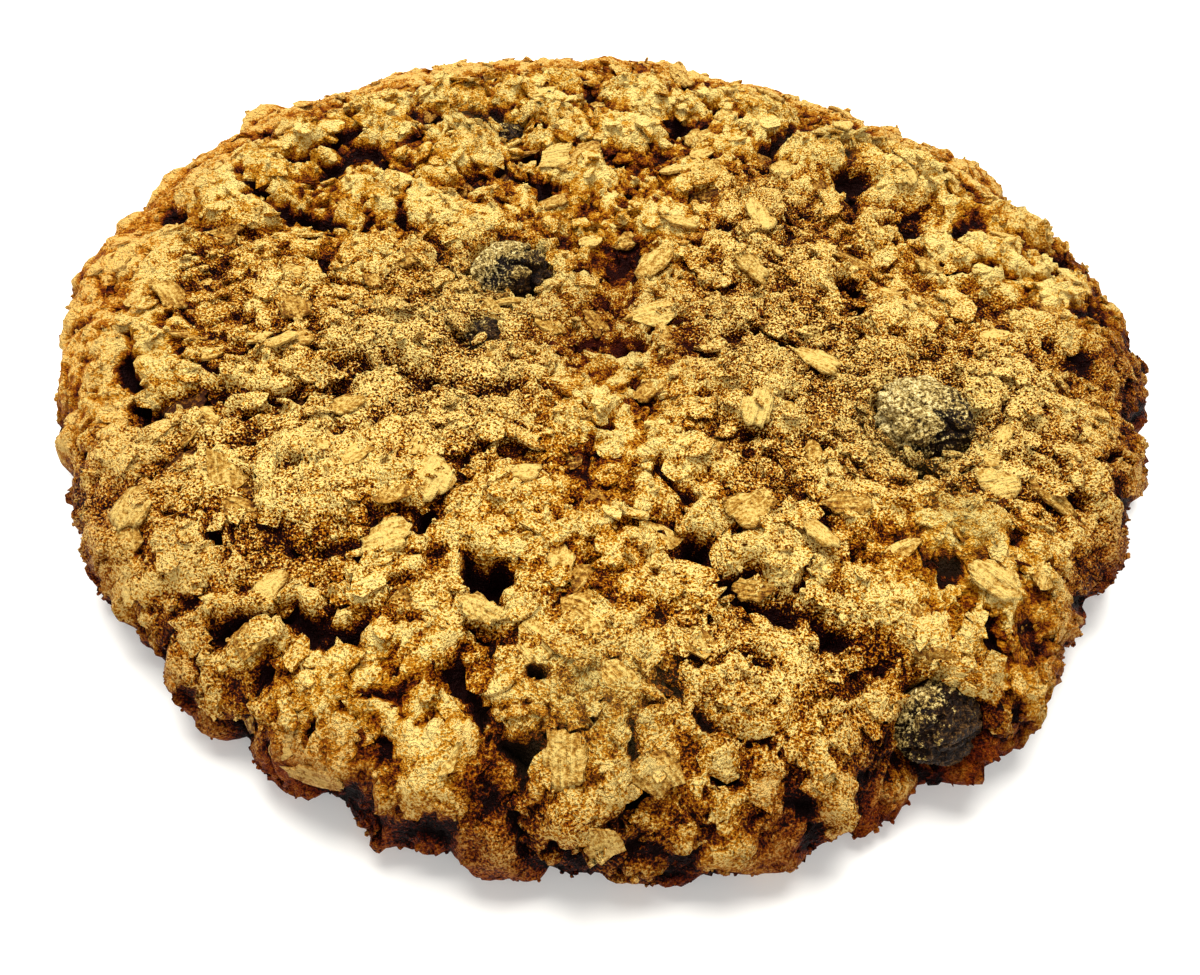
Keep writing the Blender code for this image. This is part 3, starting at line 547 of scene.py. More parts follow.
def crags():
    """Every crag as centre on the bare round, radius and height: those that stand out, then the
    smaller ones filled in over the crust and round the wall."""
    found = []
    for x, y, radius, height in RIM_CRAGS + INNER_CRAGS:
        px, py = true_place(x, y, CRUST + height)
        found.append(((px, py, bare_height(px, py)), radius, height))
    rng = np.random.default_rng(FILL_SEED)
    count = int(2 * RADIUS / FILL_PITCH) + 1
    for row, column in itertools.product(range(count), repeat=2):
        px = (column + 0.5 * (row % 2) - count / 2) * FILL_PITCH
        px += rng.uniform(-FILL_JITTER, FILL_JITTER)
        py = (row - count / 2) * FILL_PITCH + rng.uniform(-FILL_JITTER, FILL_JITTER)
        radius = rng.uniform(*FILL_RADIUS)
        height = rng.uniform(*FILL_HEIGHT)
        if math.hypot(px, py) < RADIUS - FILL_MARGIN:
            found.append(((px, py, bare_height(px, py)), radius, height))
    steps = int(2 * math.pi * RADIUS / WALL_PITCH)
    for level, step in itertools.product(WALL_LEVELS, range(steps)):
        bearing = (step + rng.uniform(0.0, WALL_JITTER)) * 2 * math.pi / steps
        reach = RADIUS * outline_scale(bearing)
        height = level + rng.uniform(-WALL_JITTER, WALL_JITTER)
        centre = (reach * math.cos(bearing), reach * math.sin(bearing), height)
        found.append((centre, rng.uniform(*WALL_RADIUS), rng.uniform(*WALL_HEIGHT)))
    return found


def distance_to_path(points, path):
    """Distance in plan from each point to a path of straight runs."""
    nearest = np.full(len(points), np.inf)
    for start, end in zip(path[:-1], path[1:]):
        start = np.array(start)
        run = np.array(end) - start
        along = np.clip((points[:, :2] - start) @ run / (run @ run), 0.0, 1.0)
        gap = points[:, :2] - start - along[:, None] * run
        nearest = np.minimum(nearest, np.hypot(gap[:, 0], gap[:, 1]))
    return nearest


def relief(places):
    """How far the crust stands out from the bare round: the smooth greatest of the crags' domes,
    less clefts and holes with eased walls, less bell-shaped hollows, plus a grain."""
    wandered = places.copy()
    for cell, reach, seed in (*WANDER, *RAGGED):
        wandered += reach * vector_noise(places, cell, seed)
    total = (VALLEY * fade_in(places[:, 2], *VALLEY_LEVELS)) ** BLEND_POWER
    for centre, radius, height in crags():
        gap = np.linalg.norm(wandered - centre, axis=1) / (CRAG_SPREAD * radius)
        total += (height * np.clip(1.0 - gap**2, 0.0, None) ** CRAG_EDGE) ** BLEND_POWER
    raised = total ** (1.0 / BLEND_POWER)
    cell, reach, seed = TEAR
    torn = wandered + reach * vector_noise(places, cell, seed)
    cut = np.zeros(len(places))
    for path, half, depth in CLEFTS:
        gap = distance_to_path(torn, [true_place(x, y, CRUST) for x, y in path])
        inward = np.clip(1.0 - gap / (CLEFT_SPREAD * half), 0.0, 1.0)
        cut = np.maximum(cut, depth * inward**CLEFT_EDGE)
    cut *= CLEFT_SHARE
    cell, least, seed = CLEFT_BREAKS
    cut *= least + (1.0 - least) * smooth_step(0.5 + value_noise(places, cell, seed))
    for x, y, radius, depth in HOLES:
        gap = np.linalg.norm(torn[:, :2] - np.array(true_place(x, y, CRUST)), axis=1)
        cut = np.maximum(cut, depth * smooth_step(HOLE_STEEPNESS * (1.0 - gap / radius)))
    cut = cut * fade_in(places[:, 2], *CUT_LEVELS)
    sunk = np.zeros(len(places))
    for x, y, wide, long, bearing, depth in HOLLOWS:
        gap = places[:, :2] - true_place(x, y, CRUST)
        turn = math.radians(bearing)
        along = gap @ (math.cos(turn), math.sin(turn))
        across = gap @ (-math.sin(turn), math.cos(turn))
        sunk += depth * np.exp(-((along / long) ** 2) - (across / wide) ** 2)
    grain = sum(reach * value_noise(places, cell, seed) for cell, reach, seed in GRAIN)
    return raised - cut - sunk * smooth_step(places[:, 2] / HOLLOW_LEVEL) + grain


def fine_relief(places):
    """The crust's crumb: tilted plates, scarps where a sloping noise is cut into steps, ripples,
    cracks along the zero lines of a noise, strewn pits, and a sandy grain."""
    bent = places + sum(reach * vector_noise(places, cell, seed) for cell, reach, seed in BEND)
    total = np.full(len(places), LIFT)
    for cell, height, lean, seed in PLATES:
        gap, value, plane = nearest_seed(bent, cell, seed)
        dome = PLATE_DOME * height * gap**2
        total += height * (value - 0.5) + lean * np.clip(plane, -1.0, 1.0) - dome
    cell, steps, height, seed = TERRACE
    start, width, under = SCARP
    slope = steps * value_noise(bent, cell, seed)
    share = slope - np.floor(slope)
    total += height * (np.floor(slope) + smooth_step((share - start) / width) - slope + under)
    for cell, height, seed in RIPPLE:
        total += height * value_noise(places, cell, seed)
    for cell, half, depth, seed in CRACKS:
        line = np.abs(value_noise(bent, cell, seed))
        patchy = CRACKED[0] * value_noise(places, 2.0 * cell, seed + 1) + CRACKED[1]
        total -= depth * smooth_step(patchy) * smooth_step(1.0 - line / half)
    for cell, share, radius, depth, seed in PITS:
        gap, value, _ = nearest_seed(bent, cell, seed)
        pit = smooth_step(PIT_STEEPNESS * (1.0 - gap * cell / radius))
        total -= depth * pit * (value < share)
    size, seed = SAND
    return total + np.random.default_rng(seed).normal(0.0, size, len(places))


def turn_matrix(tilt, turn):
    """Rotation by a tilt about X, then a turn about Z, in degrees."""
    a, b = math.radians(tilt), math.radians(turn)
    about_x = np.array([[1, 0, 0], [0, math.cos(a), -math.sin(a)], [0, math.sin(a), math.cos(a)]])
    about_z = np.array([[math.cos(b), -math.sin(b), 0], [math.sin(b), math.cos(b), 0], [0, 0, 1]])
    return about_z @ about_x


def raisin_centre(spec):
    """Where the middle of a raisin lies."""
    x, y, z = spec[0]
    return np.array((*true_place(x, y, z), z))


def sink_pockets(points, facing):
    """Pushes the crust inward along its facing to the far side of each raisin's oval pocket."""
    for spec in RAISINS.values():
        half = np.array(spec[1]) + POCKET_GAP
        local = (points - raisin_centre(spec)) @ turn_matrix(*spec[2]) / half
        inward = -facing @ turn_matrix(*spec[2]) / half
        inside = (local**2).sum(axis=1) < 1.0
        a = (inward**2).sum(axis=1)
        b = (local * inward).sum(axis=1)
        c = (local**2).sum(axis=1) - 1.0
        far = (-b + np.sqrt(np.clip(b * b - a * c, 0.0, None))) / np.maximum(a, 1e-9)
        points = points - facing * np.where(inside, far, 0.0)[:, None]
    return points


def soften(field, reach):
    """Mean of a square grid over windows of 2 reach + 1 cells, edges repeated, taken twice."""
    size = 2 * reach + 1
    for _, axis in itertools.product(range(2), (0, 1)):
        margins = [(reach + 1, reach) if a == axis else (0, 0) for a in (0, 1)]
        padded = np.pad(field, margins, "edge")
        sums = np.cumsum(padded, axis=axis)
        upper = np.take(sums, range(size, sums.shape[axis]), axis=axis)
        lower = np.take(sums, range(0, sums.shape[axis] - size), axis=axis)
        field = (upper - lower) / size
    return field


class Crust:
    """The finished top and wall on their grid, kept so that flakes and crumbs can be laid on it."""

    def __init__(self, side):
        self.side = side
        self.places, facing = bare_crust(side)
        self.reach = np.linalg.norm(self.places[:, :2], axis=1) / RADIUS
        self.rim = fade_in(self.reach, *RIM_REACH) * fade_in(self.places[:, 2], *RIM_LEVELS)
        self.rim = self.rim * smooth_step(0.5 + self.places[:, :2] @ RIM_LEAN / RADIUS)
        fade = smooth_step(self.places[:, 2] / FOOT_RISE)
        fine = fine_relief(self.places) * (FOOT_SHARE + (1.0 - FOOT_SHARE) * fade)
        height = relief(self.places) + fine * (1.0 - RIM_CALM * self.rim)
        points = self.places + facing * height[:, None]
        for cell, shift, seed in JOSTLE:
            points = points + shift * fade[:, None] * vector_noise(self.places, cell, seed)
        points = sink_pockets(points, facing)
        on_foot = self.places[:, 2] < ON_GROUND
        points[:, 2] = np.where(on_foot, 0.0, np.maximum(points[:, 2], 0.0))
        self.points = fit_box(points)
        field = height.reshape(side, side)
        self.hollow = sum(
            share * (soften(field, cells) - field) for cells, share in HOLLOW_BLURS
        ).ravel()
        smooth = np.stack(
            [soften(column.reshape(side, side), NORMAL_BLUR) for column in self.points.T], axis=-1
        )
        normals = unit(np.cross(np.gradient(smooth, axis=0), np.gradient(smooth, axis=1)))
        self.normals = normals.reshape(-1, 3)
        self.tones = self.find_tones()

    def away(self, x, y, level, size):
        """Distance in plan from a noted spot at a level, over a size."""
        return np.linalg.norm(self.points[:, :2] - true_place(x, y, level), axis=1) / size

    def find_tones(self):
        """Numbers for the materials at each point: hollows, for browning and painted shade, toasted
        rim and wall, grey and red patches, and how sugary the crust is."""
        low, high, strength = TOAST_REACH
        toast = fade_in(self.reach, low, high) * strength
        full, height, lowered, strength = TOAST_WALL
        level = self.places[:, 2] - full - lowered * self.hollow
        toast = toast + strength * smooth_step(1.0 - level / height)
        cell, share, seed = TOAST_PATCHES
        toast = toast * (1.0 + share * value_noise(self.places, cell, seed))
        toast = toast * (1.0 - TOAST_RIM * self.rim)
        upper = self.places[:, 2] > UPPER_LEVEL
        grey = np.zeros(len(self.points))
        for x, y, size in GREY_SPOTS:
            gap = self.away(x, y, CRUST + GREY_RISE, size)
            grey = np.maximum(grey, GREY_STRENGTH * np.exp(-(gap**2) * GREY_FADE) * upper)
        x, y, size, strength = RED_HOLLOW
        red = strength * np.exp(-(self.away(x, y, CRUST, size) ** 2)) * upper
        mean, cell, share, seed = SUGAR
        sugar = mean + share * value_noise(self.places, cell, seed)
        for where, (low, high, loss) in (
            (self.reach, SUGAR_RIM),
            (self.places[:, 1], SUGAR_BACK),
        ):
            sugar -= loss * fade_in(where, low, high)
        return {
            "hollow": np.clip(self.hollow, *HOLLOW_RANGE),
            "toast": np.clip(toast, 0.0, 1.0),
            "rim": self.rim,
            "grey": grey,
            "red": red,
            "sugar": np.clip(sugar, 0.0, 1.0),
        }

    def nearest(self, x, y):
        """Index of the point of the upper crust nearest a spot of the plan."""
        gap = np.hypot(self.points[:, 0] - x, self.points[:, 1] - y)
        return int(np.argmin(np.where(self.places[:, 2] < UPPER_LEVEL, np.inf, gap)))


def unit(vectors):
    """Vectors of length one."""
    return vectors / np.maximum(np.linalg.norm(vectors, axis=-1, keepdims=True), 1e-9)


def fit_box(points):
    """Keeps points inside the solids' box: what passes a side is drawn back to it."""
    low = np.array(CAD_BOX[0]) / MM - PLAN_MOVE + BOX_MARGIN
    high = np.array(CAD_BOX[1]) / MM - PLAN_MOVE - BOX_MARGIN
    low[2] = 0.0
    return np.clip(points, low, high)


def make_mesh(name, points, quads, triangles, smooth=True):
    """A mesh object at the origin from arrays of points and faces, smooth or flat shaded."""
    mesh = bpy.data.meshes.new(name)
    corners = np.concatenate([quads.ravel(), triangles.ravel()]).astype(np.int32)
    starts = np.concatenate(
        [np.arange(len(quads)) * 4, len(quads) * 4 + np.arange(len(triangles)) * 3]
    ).astype(np.int32)
    mesh.vertices.add(len(points))
    mesh.vertices.foreach_set("co", ((points + np.array(PLAN_MOVE)) * MM).ravel())
    mesh.loops.add(len(corners))
    mesh.loops.foreach_set("vertex_index", corners)
    mesh.polygons.add(len(starts))
    mesh.polygons.foreach_set("loop_start", starts)
    mesh.polygons.foreach_set("use_smooth", np.full(len(starts), smooth))
    mesh.update(calc_edges=True)
    mesh.validate()
    item = bpy.data.objects.new(name, mesh)
    bpy.context.scene.collection.objects.link(item)
    return item


def set_attribute(item, name, values):
    """Stores one number a vertex for a material to read."""
    attribute = item.data.attributes.new(name, "FLOAT", "POINT")
    attribute.data.foreach_set("value", np.asarray(values, np.float32))


def finish_piece(item, material, slot, *replaced):
    """Gives a piece its material, body and the solids it stands for; the slot is not used."""
    item.data.materials.append(material)
    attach(item, "root")
    if replaced:
        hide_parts(*replaced)


# A Mix node's sockets for its share and two colours, and for the colour that it gives.
MIX_INPUTS = (0, 6, 7)
MIX_OUTPUT = 2


class Nodes:
    """Short hand for building one material's nodes."""

    def __init__(self, name):
        self.material = bpy.data.materials.new(name)
        self.material.use_nodes = True
        self.tree = self.material.node_tree
        self.shader = self.tree.nodes["Principled BSDF"]

    def put(self, kind, inputs=None, **settings):
        """A node with its settings, and inputs that are numbers or other nodes' outputs."""
        made = self.tree.nodes.new(kind)
        for key, value in settings.items():
            setattr(made, key, value)
        for key, value in (inputs or {}).items():
            self.feed(made.inputs[key], value)
        return made

    def feed(self, socket, value):
        """Links an output to a socket, or sets the socket's own value."""
        if isinstance(value, bpy.types.NodeSocket):
            self.tree.links.new(value, socket)
        else:
            socket.default_value = value

    def attribute(self, name):
        """A number stored on the mesh."""
        return self.put("ShaderNodeAttribute", attribute_name=name).outputs["Fac"]

    def coordinates(self):
        """Places on the piece, in metres."""
        return self.put("ShaderNodeTexCoord").outputs["Object"]

    def noise(self, where, cell, detail=2.0, rough=0.5):
        """Smooth noise from 0 to 1 with cells of a size in millimetres."""
        inputs = {"Vector": where, "Scale": 1.0 / (cell * MM), "Detail": detail, "Roughness": rough}
        return self.put("ShaderNodeTexNoise", inputs).outputs["Fac"]

    def grains(self, where, cell):
        """Distance from the middles of packed grains of a size in millimetres."""
        inputs = {"Vector": where, "Scale": 1.0 / (cell * MM)}
        return self.put("ShaderNodeTexVoronoi", inputs).outputs["Distance"]

    def maths(self, operation, first, second=0.0, third=0.0, clamp=False):
        """One sum on numbers."""
        inputs = {0: first, 1: second, 2: third}
        return self.put("ShaderNodeMath", inputs, operation=operation, use_clamp=clamp).outputs[0]

    def times(self, first, second, clamp=False):
        """A product."""
        return self.maths("MULTIPLY", first, second, clamp=clamp)

    def total(self, start, *terms, clamp=False):
        """A start plus, for each pair of terms, their product; clamped to 0 to 1 at the end."""
        for place, (first, second) in enumerate(terms, 1):
            last = clamp and place == len(terms)
            start = self.maths("MULTIPLY_ADD", first, second, start, clamp=last)
        return start

    def mix(self, share, first, second, blend="MIX"):
        """Two colours mixed."""
        made = self.put("ShaderNodeMix", data_type="RGBA", blend_type=blend)
        for socket, value in zip(MIX_INPUTS, (share, first, second)):
            self.feed(made.inputs[socket], value)
        return made.outputs[MIX_OUTPUT]

    def ramp(self, share, stops):
        """Colours by place along a scale from 0 to 1."""
        made = self.put("ShaderNodeValToRGB", {"Fac": share})
        line = made.color_ramp
        while len(line.elements) < len(stops):
            line.elements.new(0.5)
        for element, (place, colour) in zip(line.elements, stops):
            element.position = place
            element.color = linear(colour)
        return made.outputs["Color"]

    def finish(self, colour, rough, height, distance, specular):
        """Feeds the shader: colour, roughness, a bump whose full range is a distance in
        millimetres, and how much the surface reflects."""
        inputs = {"Height": height, "Distance": distance * MM, "Strength": 1.0}
        bump = self.put("ShaderNodeBump", inputs).outputs["Normal"]
        for name, value in (("Base Color", colour), ("Roughness", rough), ("Normal", bump)):
            self.feed(self.shader.inputs[name], value)
        self.shader.inputs["Specular IOR Level"].default_value = specular
        return self.material


def linear(colour):
    """A display colour of 0 to 255 as the light values that shaders take."""
    shares = [c / 255.0 for c in colour]
    return (*[s / 12.92 if s <= 0.04045 else ((s + 0.055) / 1.055) ** 2.4 for s in shares], 1.0)


# Dough colours from the deepest hollow to the palest crag, the ends reached partly through
# painted shade in hollows and painted light on crests and rim.
DOUGH_SCALE = (
    (0.00, (22, 0, 0)), (0.15, (62, 10, 0)), (0.34, (118, 50, 0)), (0.54, (168, 100, 2)),
    (0.76, (210, 148, 32)), (1.00, (252, 222, 134)),
)  # fmt: skip
RIM_COLOUR = (240, 204, 158)
TOAST_COLOUR = (156, 98, 26)
GREY_COLOUR = (116, 104, 56)
RED_COLOUR = (84, 24, 6)
# Cell sizes of the dough's noises and sugar grains.
DOUGH_FINE = 0.20
DOUGH_MIDDLING = 1.3
DOUGH_BROAD = 9.0
DOUGH_SUGAR = 0.42
DOUGH_MARK = 0.55
# Noise level over which dark marks show, and how sharp their edges are.
MARK_LEVEL = 0.60
MARK_SHARPNESS = 14.0
# Middle of the dough's shade along DOUGH_SCALE, and how far each thing shifts it. The first two
# spread by a start and a share of how sugary the crust is.
DOUGH_SHADE = 0.40
FINE_SPREAD = (1.2, 4.2)
BLOTCH_SPREAD = (1.3, -0.7)
MARK_SHIFT = -0.34
BROAD_SHIFT = 0.75
SUGAR_SHIFT = -0.25
# Hollow shift: darker hollows, paler crests; partly browning, partly painted shade and light.
# Rim shift: a paler rim, making up for the less light it gets than the top: painted light.
DOUGH_SHIFTS = {"tint": 0.20, "edge": -0.20, "rim": 0.16, "hollow": -0.72, "toast": -0.34}
RIM_TINT = 0.6
# How the grey and red patches break up, and the roughness: a start and a share of a noise. Bump:
# shares of the fine noise and the sugar grains.
GREY_BREAKS = (0.1, 0.9)
RED_BREAKS = (1.0, -1.2)
DOUGH_ROUGHNESS = (0.85, -0.35)
DOUGH_BUMP = (1.4, -0.8)


def dough_material(settings):
    """Baked dough: darker in the hollows, partly browning and partly painted shade, with painted
    light on the crests and rim, a sugary grain, toasted towards the wall, greyer over buried
    raisins."""
    n = Nodes("baked_dough")
    where = n.coordinates()
    fine = n.noise(where, DOUGH_FINE, detail=1.5, rough=0.65)
    middling = n.noise(where, DOUGH_MIDDLING)
    broad = n.noise(where, DOUGH_BROAD)
    gap = n.grains(where, DOUGH_SUGAR)
    mark = n.noise(where, DOUGH_MARK, detail=3.0, rough=0.6)
    mark = n.times(n.total(-MARK_LEVEL, (mark, 1.0)), MARK_SHARPNESS, clamp=True)
    read = {name: n.attribute(name) for name in ("sugar", "grey", "red", *DOUGH_SHIFTS)}
    sugar = read["sugar"]
    shade = n.total(
        DOUGH_SHADE,
        (n.total(-0.5, (fine, 1.0)), n.total(FINE_SPREAD[0], (sugar, FINE_SPREAD[1]))),
        (n.times(mark, sugar), MARK_SHIFT),
        (n.total(-0.5, (middling, 1.0)), n.total(BLOTCH_SPREAD[0], (sugar, BLOTCH_SPREAD[1]))),
        (broad, BROAD_SHIFT),
        (gap, SUGAR_SHIFT),
        *((read[name], shift) for name, shift in DOUGH_SHIFTS.items()),
        clamp=True,
    )
    colour = n.ramp(shade, DOUGH_SCALE)
    colour = n.mix(n.times(read["rim"], RIM_TINT), colour, settings.rim_colour, "MULTIPLY")
    colour = n.mix(read["toast"], colour, settings.toast_colour, "MULTIPLY")
    grey = n.times(read["grey"], n.total(GREY_BREAKS[0], (middling, GREY_BREAKS[1])))
    colour = n.mix(grey, colour, settings.patch_colour)
    red = n.times(read["red"], n.total(RED_BREAKS[0], (fine, RED_BREAKS[1]), clamp=True))
    colour = n.mix(red, colour, linear(RED_COLOUR))
    rough = n.total(DOUGH_ROUGHNESS[0], (fine, DOUGH_ROUGHNESS[1]))
    height = n.total(0.0, *zip((fine, gap), DOUGH_BUMP))
    return n.finish(colour, rough, height, distance=0.44, specular=0.06)


# Oat colours from the browned edge to the pale heart.
OAT_SCALE = (
    (0.00, (50, 18, 1)), (0.30, (112, 66, 10)), (0.60, (166, 120, 40)), (1.00, (220, 188, 106)),
)  # fmt: skip
# Fibres to a millimetre along and across a flake, and cell sizes of the oat's noises.
FIBRES = (0.35, 2.6)
OAT_FINE = 0.32
OAT_MIDDLING = 1.1
# Start of the oat's shade along OAT_SCALE, and how far each thing shifts it.
OAT_SHADE = -1.24
# Hollow shift: flakes in the crust's hollows darker, on its crests paler: painted shade and light.
OAT_SHIFTS = {"tint": 0.44, "edge": -0.16, "hollow": -0.35}
FIBRE_SHIFT = 1.1
OAT_FINE_SHIFT = 1.9
OAT_MIDDLING_SHIFT = 0.5
OAT_TOAST = 0.6
OAT_ROUGHNESS = (0.8, -0.3)
FIBRE_BUMP = 1.6


def oat_material(settings):
    """Toasted oat: paler hearts, browned edges, fibres along each flake, and its own tint."""
    n = Nodes("oat")
    where = n.coordinates()
    along, across = (n.times(n.attribute(a), b) for a, b in zip(("along", "across"), FIBRES))
    strand = n.put("ShaderNodeCombineXYZ", {"X": along, "Y": across}).outputs[0]
    fibre = n.put("ShaderNodeTexNoise", {"Vector": strand, "Scale": 1.0}).outputs["Fac"]
    fine = n.noise(where, OAT_FINE, rough=0.7)
    shade = n.total(
        OAT_SHADE,
        (fibre, FIBRE_SHIFT),
        (fine, OAT_FINE_SHIFT),
        (n.noise(where, OAT_MIDDLING), OAT_MIDDLING_SHIFT),
        *((n.attribute(name), shift) for name, shift in OAT_SHIFTS.items()),
        clamp=True,
    )
    toast = n.times(n.attribute("toast"), OAT_TOAST)
    colour = n.mix(toast, n.ramp(shade, OAT_SCALE), settings.toast_colour, "MULTIPLY")
    rough = n.total(OAT_ROUGHNESS[0], (fine, OAT_ROUGHNESS[1]))
    height = n.total(fine, (fibre, FIBRE_BUMP))
    return n.finish(colour, rough, height, distance=0.30, specular=0.1)


# Raisin colours: skin, and the pale cover of dusting on its ridges and painted light on its upper
# side.
SKIN_SCALE = ((0.0, (8, 2, 0)), (0.45, (30, 14, 5)), (1.0, (104, 72, 34)))
DUST_SCALE = (
    (0.00, (50, 32, 12)), (0.35, (120, 94, 44)), (0.65, (192, 164, 94)), (1.00, (246, 228, 164)),
)  # fmt: skip
# Places along the two scales, and how thick the pale cover of dusting and painted light is: a
# start, then how far each thing shifts it.
# The ridge shifts leave creases near black: partly the skin's own folds, partly painted shade.
SKIN_SHADE = (-1.1, {"fine": 2.4, "ridge": 0.5})
DUST_SHADE = (-1.95, {"fine": 3.2, "middling": 1.0, "dust_and_light": 0.32})
DUST_COVER = (-3.2, {"ridges": 1.3, "dust_and_light": 1.0, "fine": 2.6, "middling": 1.8})
RIDGE_POWER = 2.5
DUST_SHARPNESS = 2.4
# Roughness of the skin and how much dust adds, and cell sizes of the raisins' noises.
RAISIN_ROUGHNESS = (0.44, 0.4)
RAISIN_FINE = 0.30
RAISIN_MIDDLING = 1.0


def raisin_material():
    """Dried grape: near-black waxy skin, darkest in its creases partly by painted shade, with flour
    and sugar dusting on the ridges and a paler cover of painted light to the left, back and top.
    """
    n = Nodes("raisin")
    where = n.coordinates()
    read = {name: n.attribute(name) for name in ("ridge", "dust_and_light")}
    read["ridges"] = n.maths("POWER", read["ridge"], RIDGE_POWER)
    read["fine"] = n.noise(where, RAISIN_FINE, rough=0.75)
    read["middling"] = n.noise(where, RAISIN_MIDDLING)

    def shifted(start, shifts, clamp=False):
        return n.total(start, *((read[name], shift) for name, shift in shifts.items()), clamp=clamp)

    skin = n.ramp(shifted(*SKIN_SHADE), SKIN_SCALE)
    dust_and_light = n.ramp(shifted(*DUST_SHADE, clamp=True), DUST_SCALE)
    cover = n.times(shifted(*DUST_COVER), DUST_SHARPNESS, clamp=True)
    colour = n.mix(cover, skin, dust_and_light)
    rough = n.total(RAISIN_ROUGHNESS[0], (cover, RAISIN_ROUGHNESS[1]))
    return n.finish(colour, rough, read["fine"], distance=0.50, specular=0.12)


def bake_dough(crust):
    """The dough: the crust grid closed by rings drawn in from its foot to one point under it."""
    side = crust.side
    index = np.arange(side * side).reshape(side, side)
    quads = np.stack(
        [index[:-1, :-1], index[1:, :-1], index[1:, 1:], index[:-1, 1:]], axis=-1
    ).reshape(-1, 4)
    edge = np.concatenate([index[0, :-1], index[:-1, -1], index[-1, :0:-1], index[:0:-1, 0]])
    points = [crust.points]
    rings = [edge]
    for ring in range(1, FOOT_RINGS):
        inner = crust.points[edge] * (1.0 - ring / FOOT_RINGS)
        inner[:, 2] = 0.0
        rings.append(side * side + (ring - 1) * len(edge) + np.arange(len(edge)))
        points.append(inner)
    middle = side * side + (FOOT_RINGS - 1) * len(edge)
    points.append(np.zeros((1, 3)))
    bands = [
        np.stack([outer, inner, np.roll(inner, -1), np.roll(outer, -1)], axis=-1)
        for outer, inner in zip(rings[:-1], rings[1:])
    ]
    last = rings[-1]
    fan = np.stack([last, np.full(len(last), middle), np.roll(last, -1)], axis=-1)
    points = np.concatenate(points)
    item = make_mesh("cookie_dough", points, np.concatenate([quads, *bands]), fan)
    under = len(points) - side * side
    for name, tone in crust.tones.items():
        set_attribute(item, name, np.concatenate([tone, np.full(under, float(name == "toast"))]))
    set_attribute(item, "tint", np.zeros(len(points)))
    set_attribute(item, "edge", np.zeros(len(points)))
    return item


def ring_band(first, second, sides):
    """Quads between two rings of points, each given by the place of its first point."""
    here, ahead = np.arange(sides), (np.arange(sides) + 1) % sides
    return np.stack([first + here, second + here, second + ahead, first + ahead], axis=-1)


def ring_fan(middle, ring, sides):
    """Triangles from a middle point to a ring of points."""
    here, ahead = np.arange(sides), (np.arange(sides) + 1) % sides
    return np.stack([np.full(sides, middle), ring + here, ring + ahead], axis=-1)


def globe(bands, sides):
    """Unit directions from pole to pole along X, one point at each pole, and their faces: lean a
    and turn b give (cos a, sin a cos b, sin a sin b)."""
    lean = np.arange(1, bands) * math.pi / bands
    turn = np.arange(sides) * 2 * math.pi / sides
    ring = np.stack(
        [
            np.outer(np.cos(lean), np.ones(sides)),
            np.outer(np.sin(lean), np.cos(turn)),
            np.outer(np.sin(lean), np.sin(turn)),
        ],
        axis=-1,
    ).reshape(-1, 3)
    points = np.concatenate([[[1, 0, 0]], ring, [[-1, 0, 0]]])
    starts = 1 + np.arange(bands - 1) * sides
    quads = np.concatenate([ring_band(a, b, sides) for a, b in zip(starts[:-1], starts[1:])])
    end = ring_fan(len(points) - 1, starts[-1], sides)[:, ::-1]
    return points, quads, np.concatenate([ring_fan(0, 1, sides), end])


def scatter(name, crust, spots, local, axes, base, faces, edge, rng, smooth):
    """Copies of a shape at points of the crust, each turned to its own axes. Each takes the tones
    of the crust under it, and a tint of its own."""
    count, size = local.shape[:2]
    points = np.einsum("fpk,fkc->fpc", local, axes) + base[:, None, :]
    offset = (np.arange(count) * size)[:, None, None]
    quads, triangles = ((face[None] + offset).reshape(-1, face.shape[1]) for face in faces)
    item = make_mesh(name, fit_box(points.reshape(-1, 3)), quads, triangles, smooth)
    set_attribute(item, "edge", np.tile(edge, count))
    for tone, values in crust.tones.items():
        set_attribute(item, tone, np.repeat(values[spots], size))
    set_attribute(item, "tint", np.repeat(rng.uniform(0.0, 1.0, count), size))
    return item


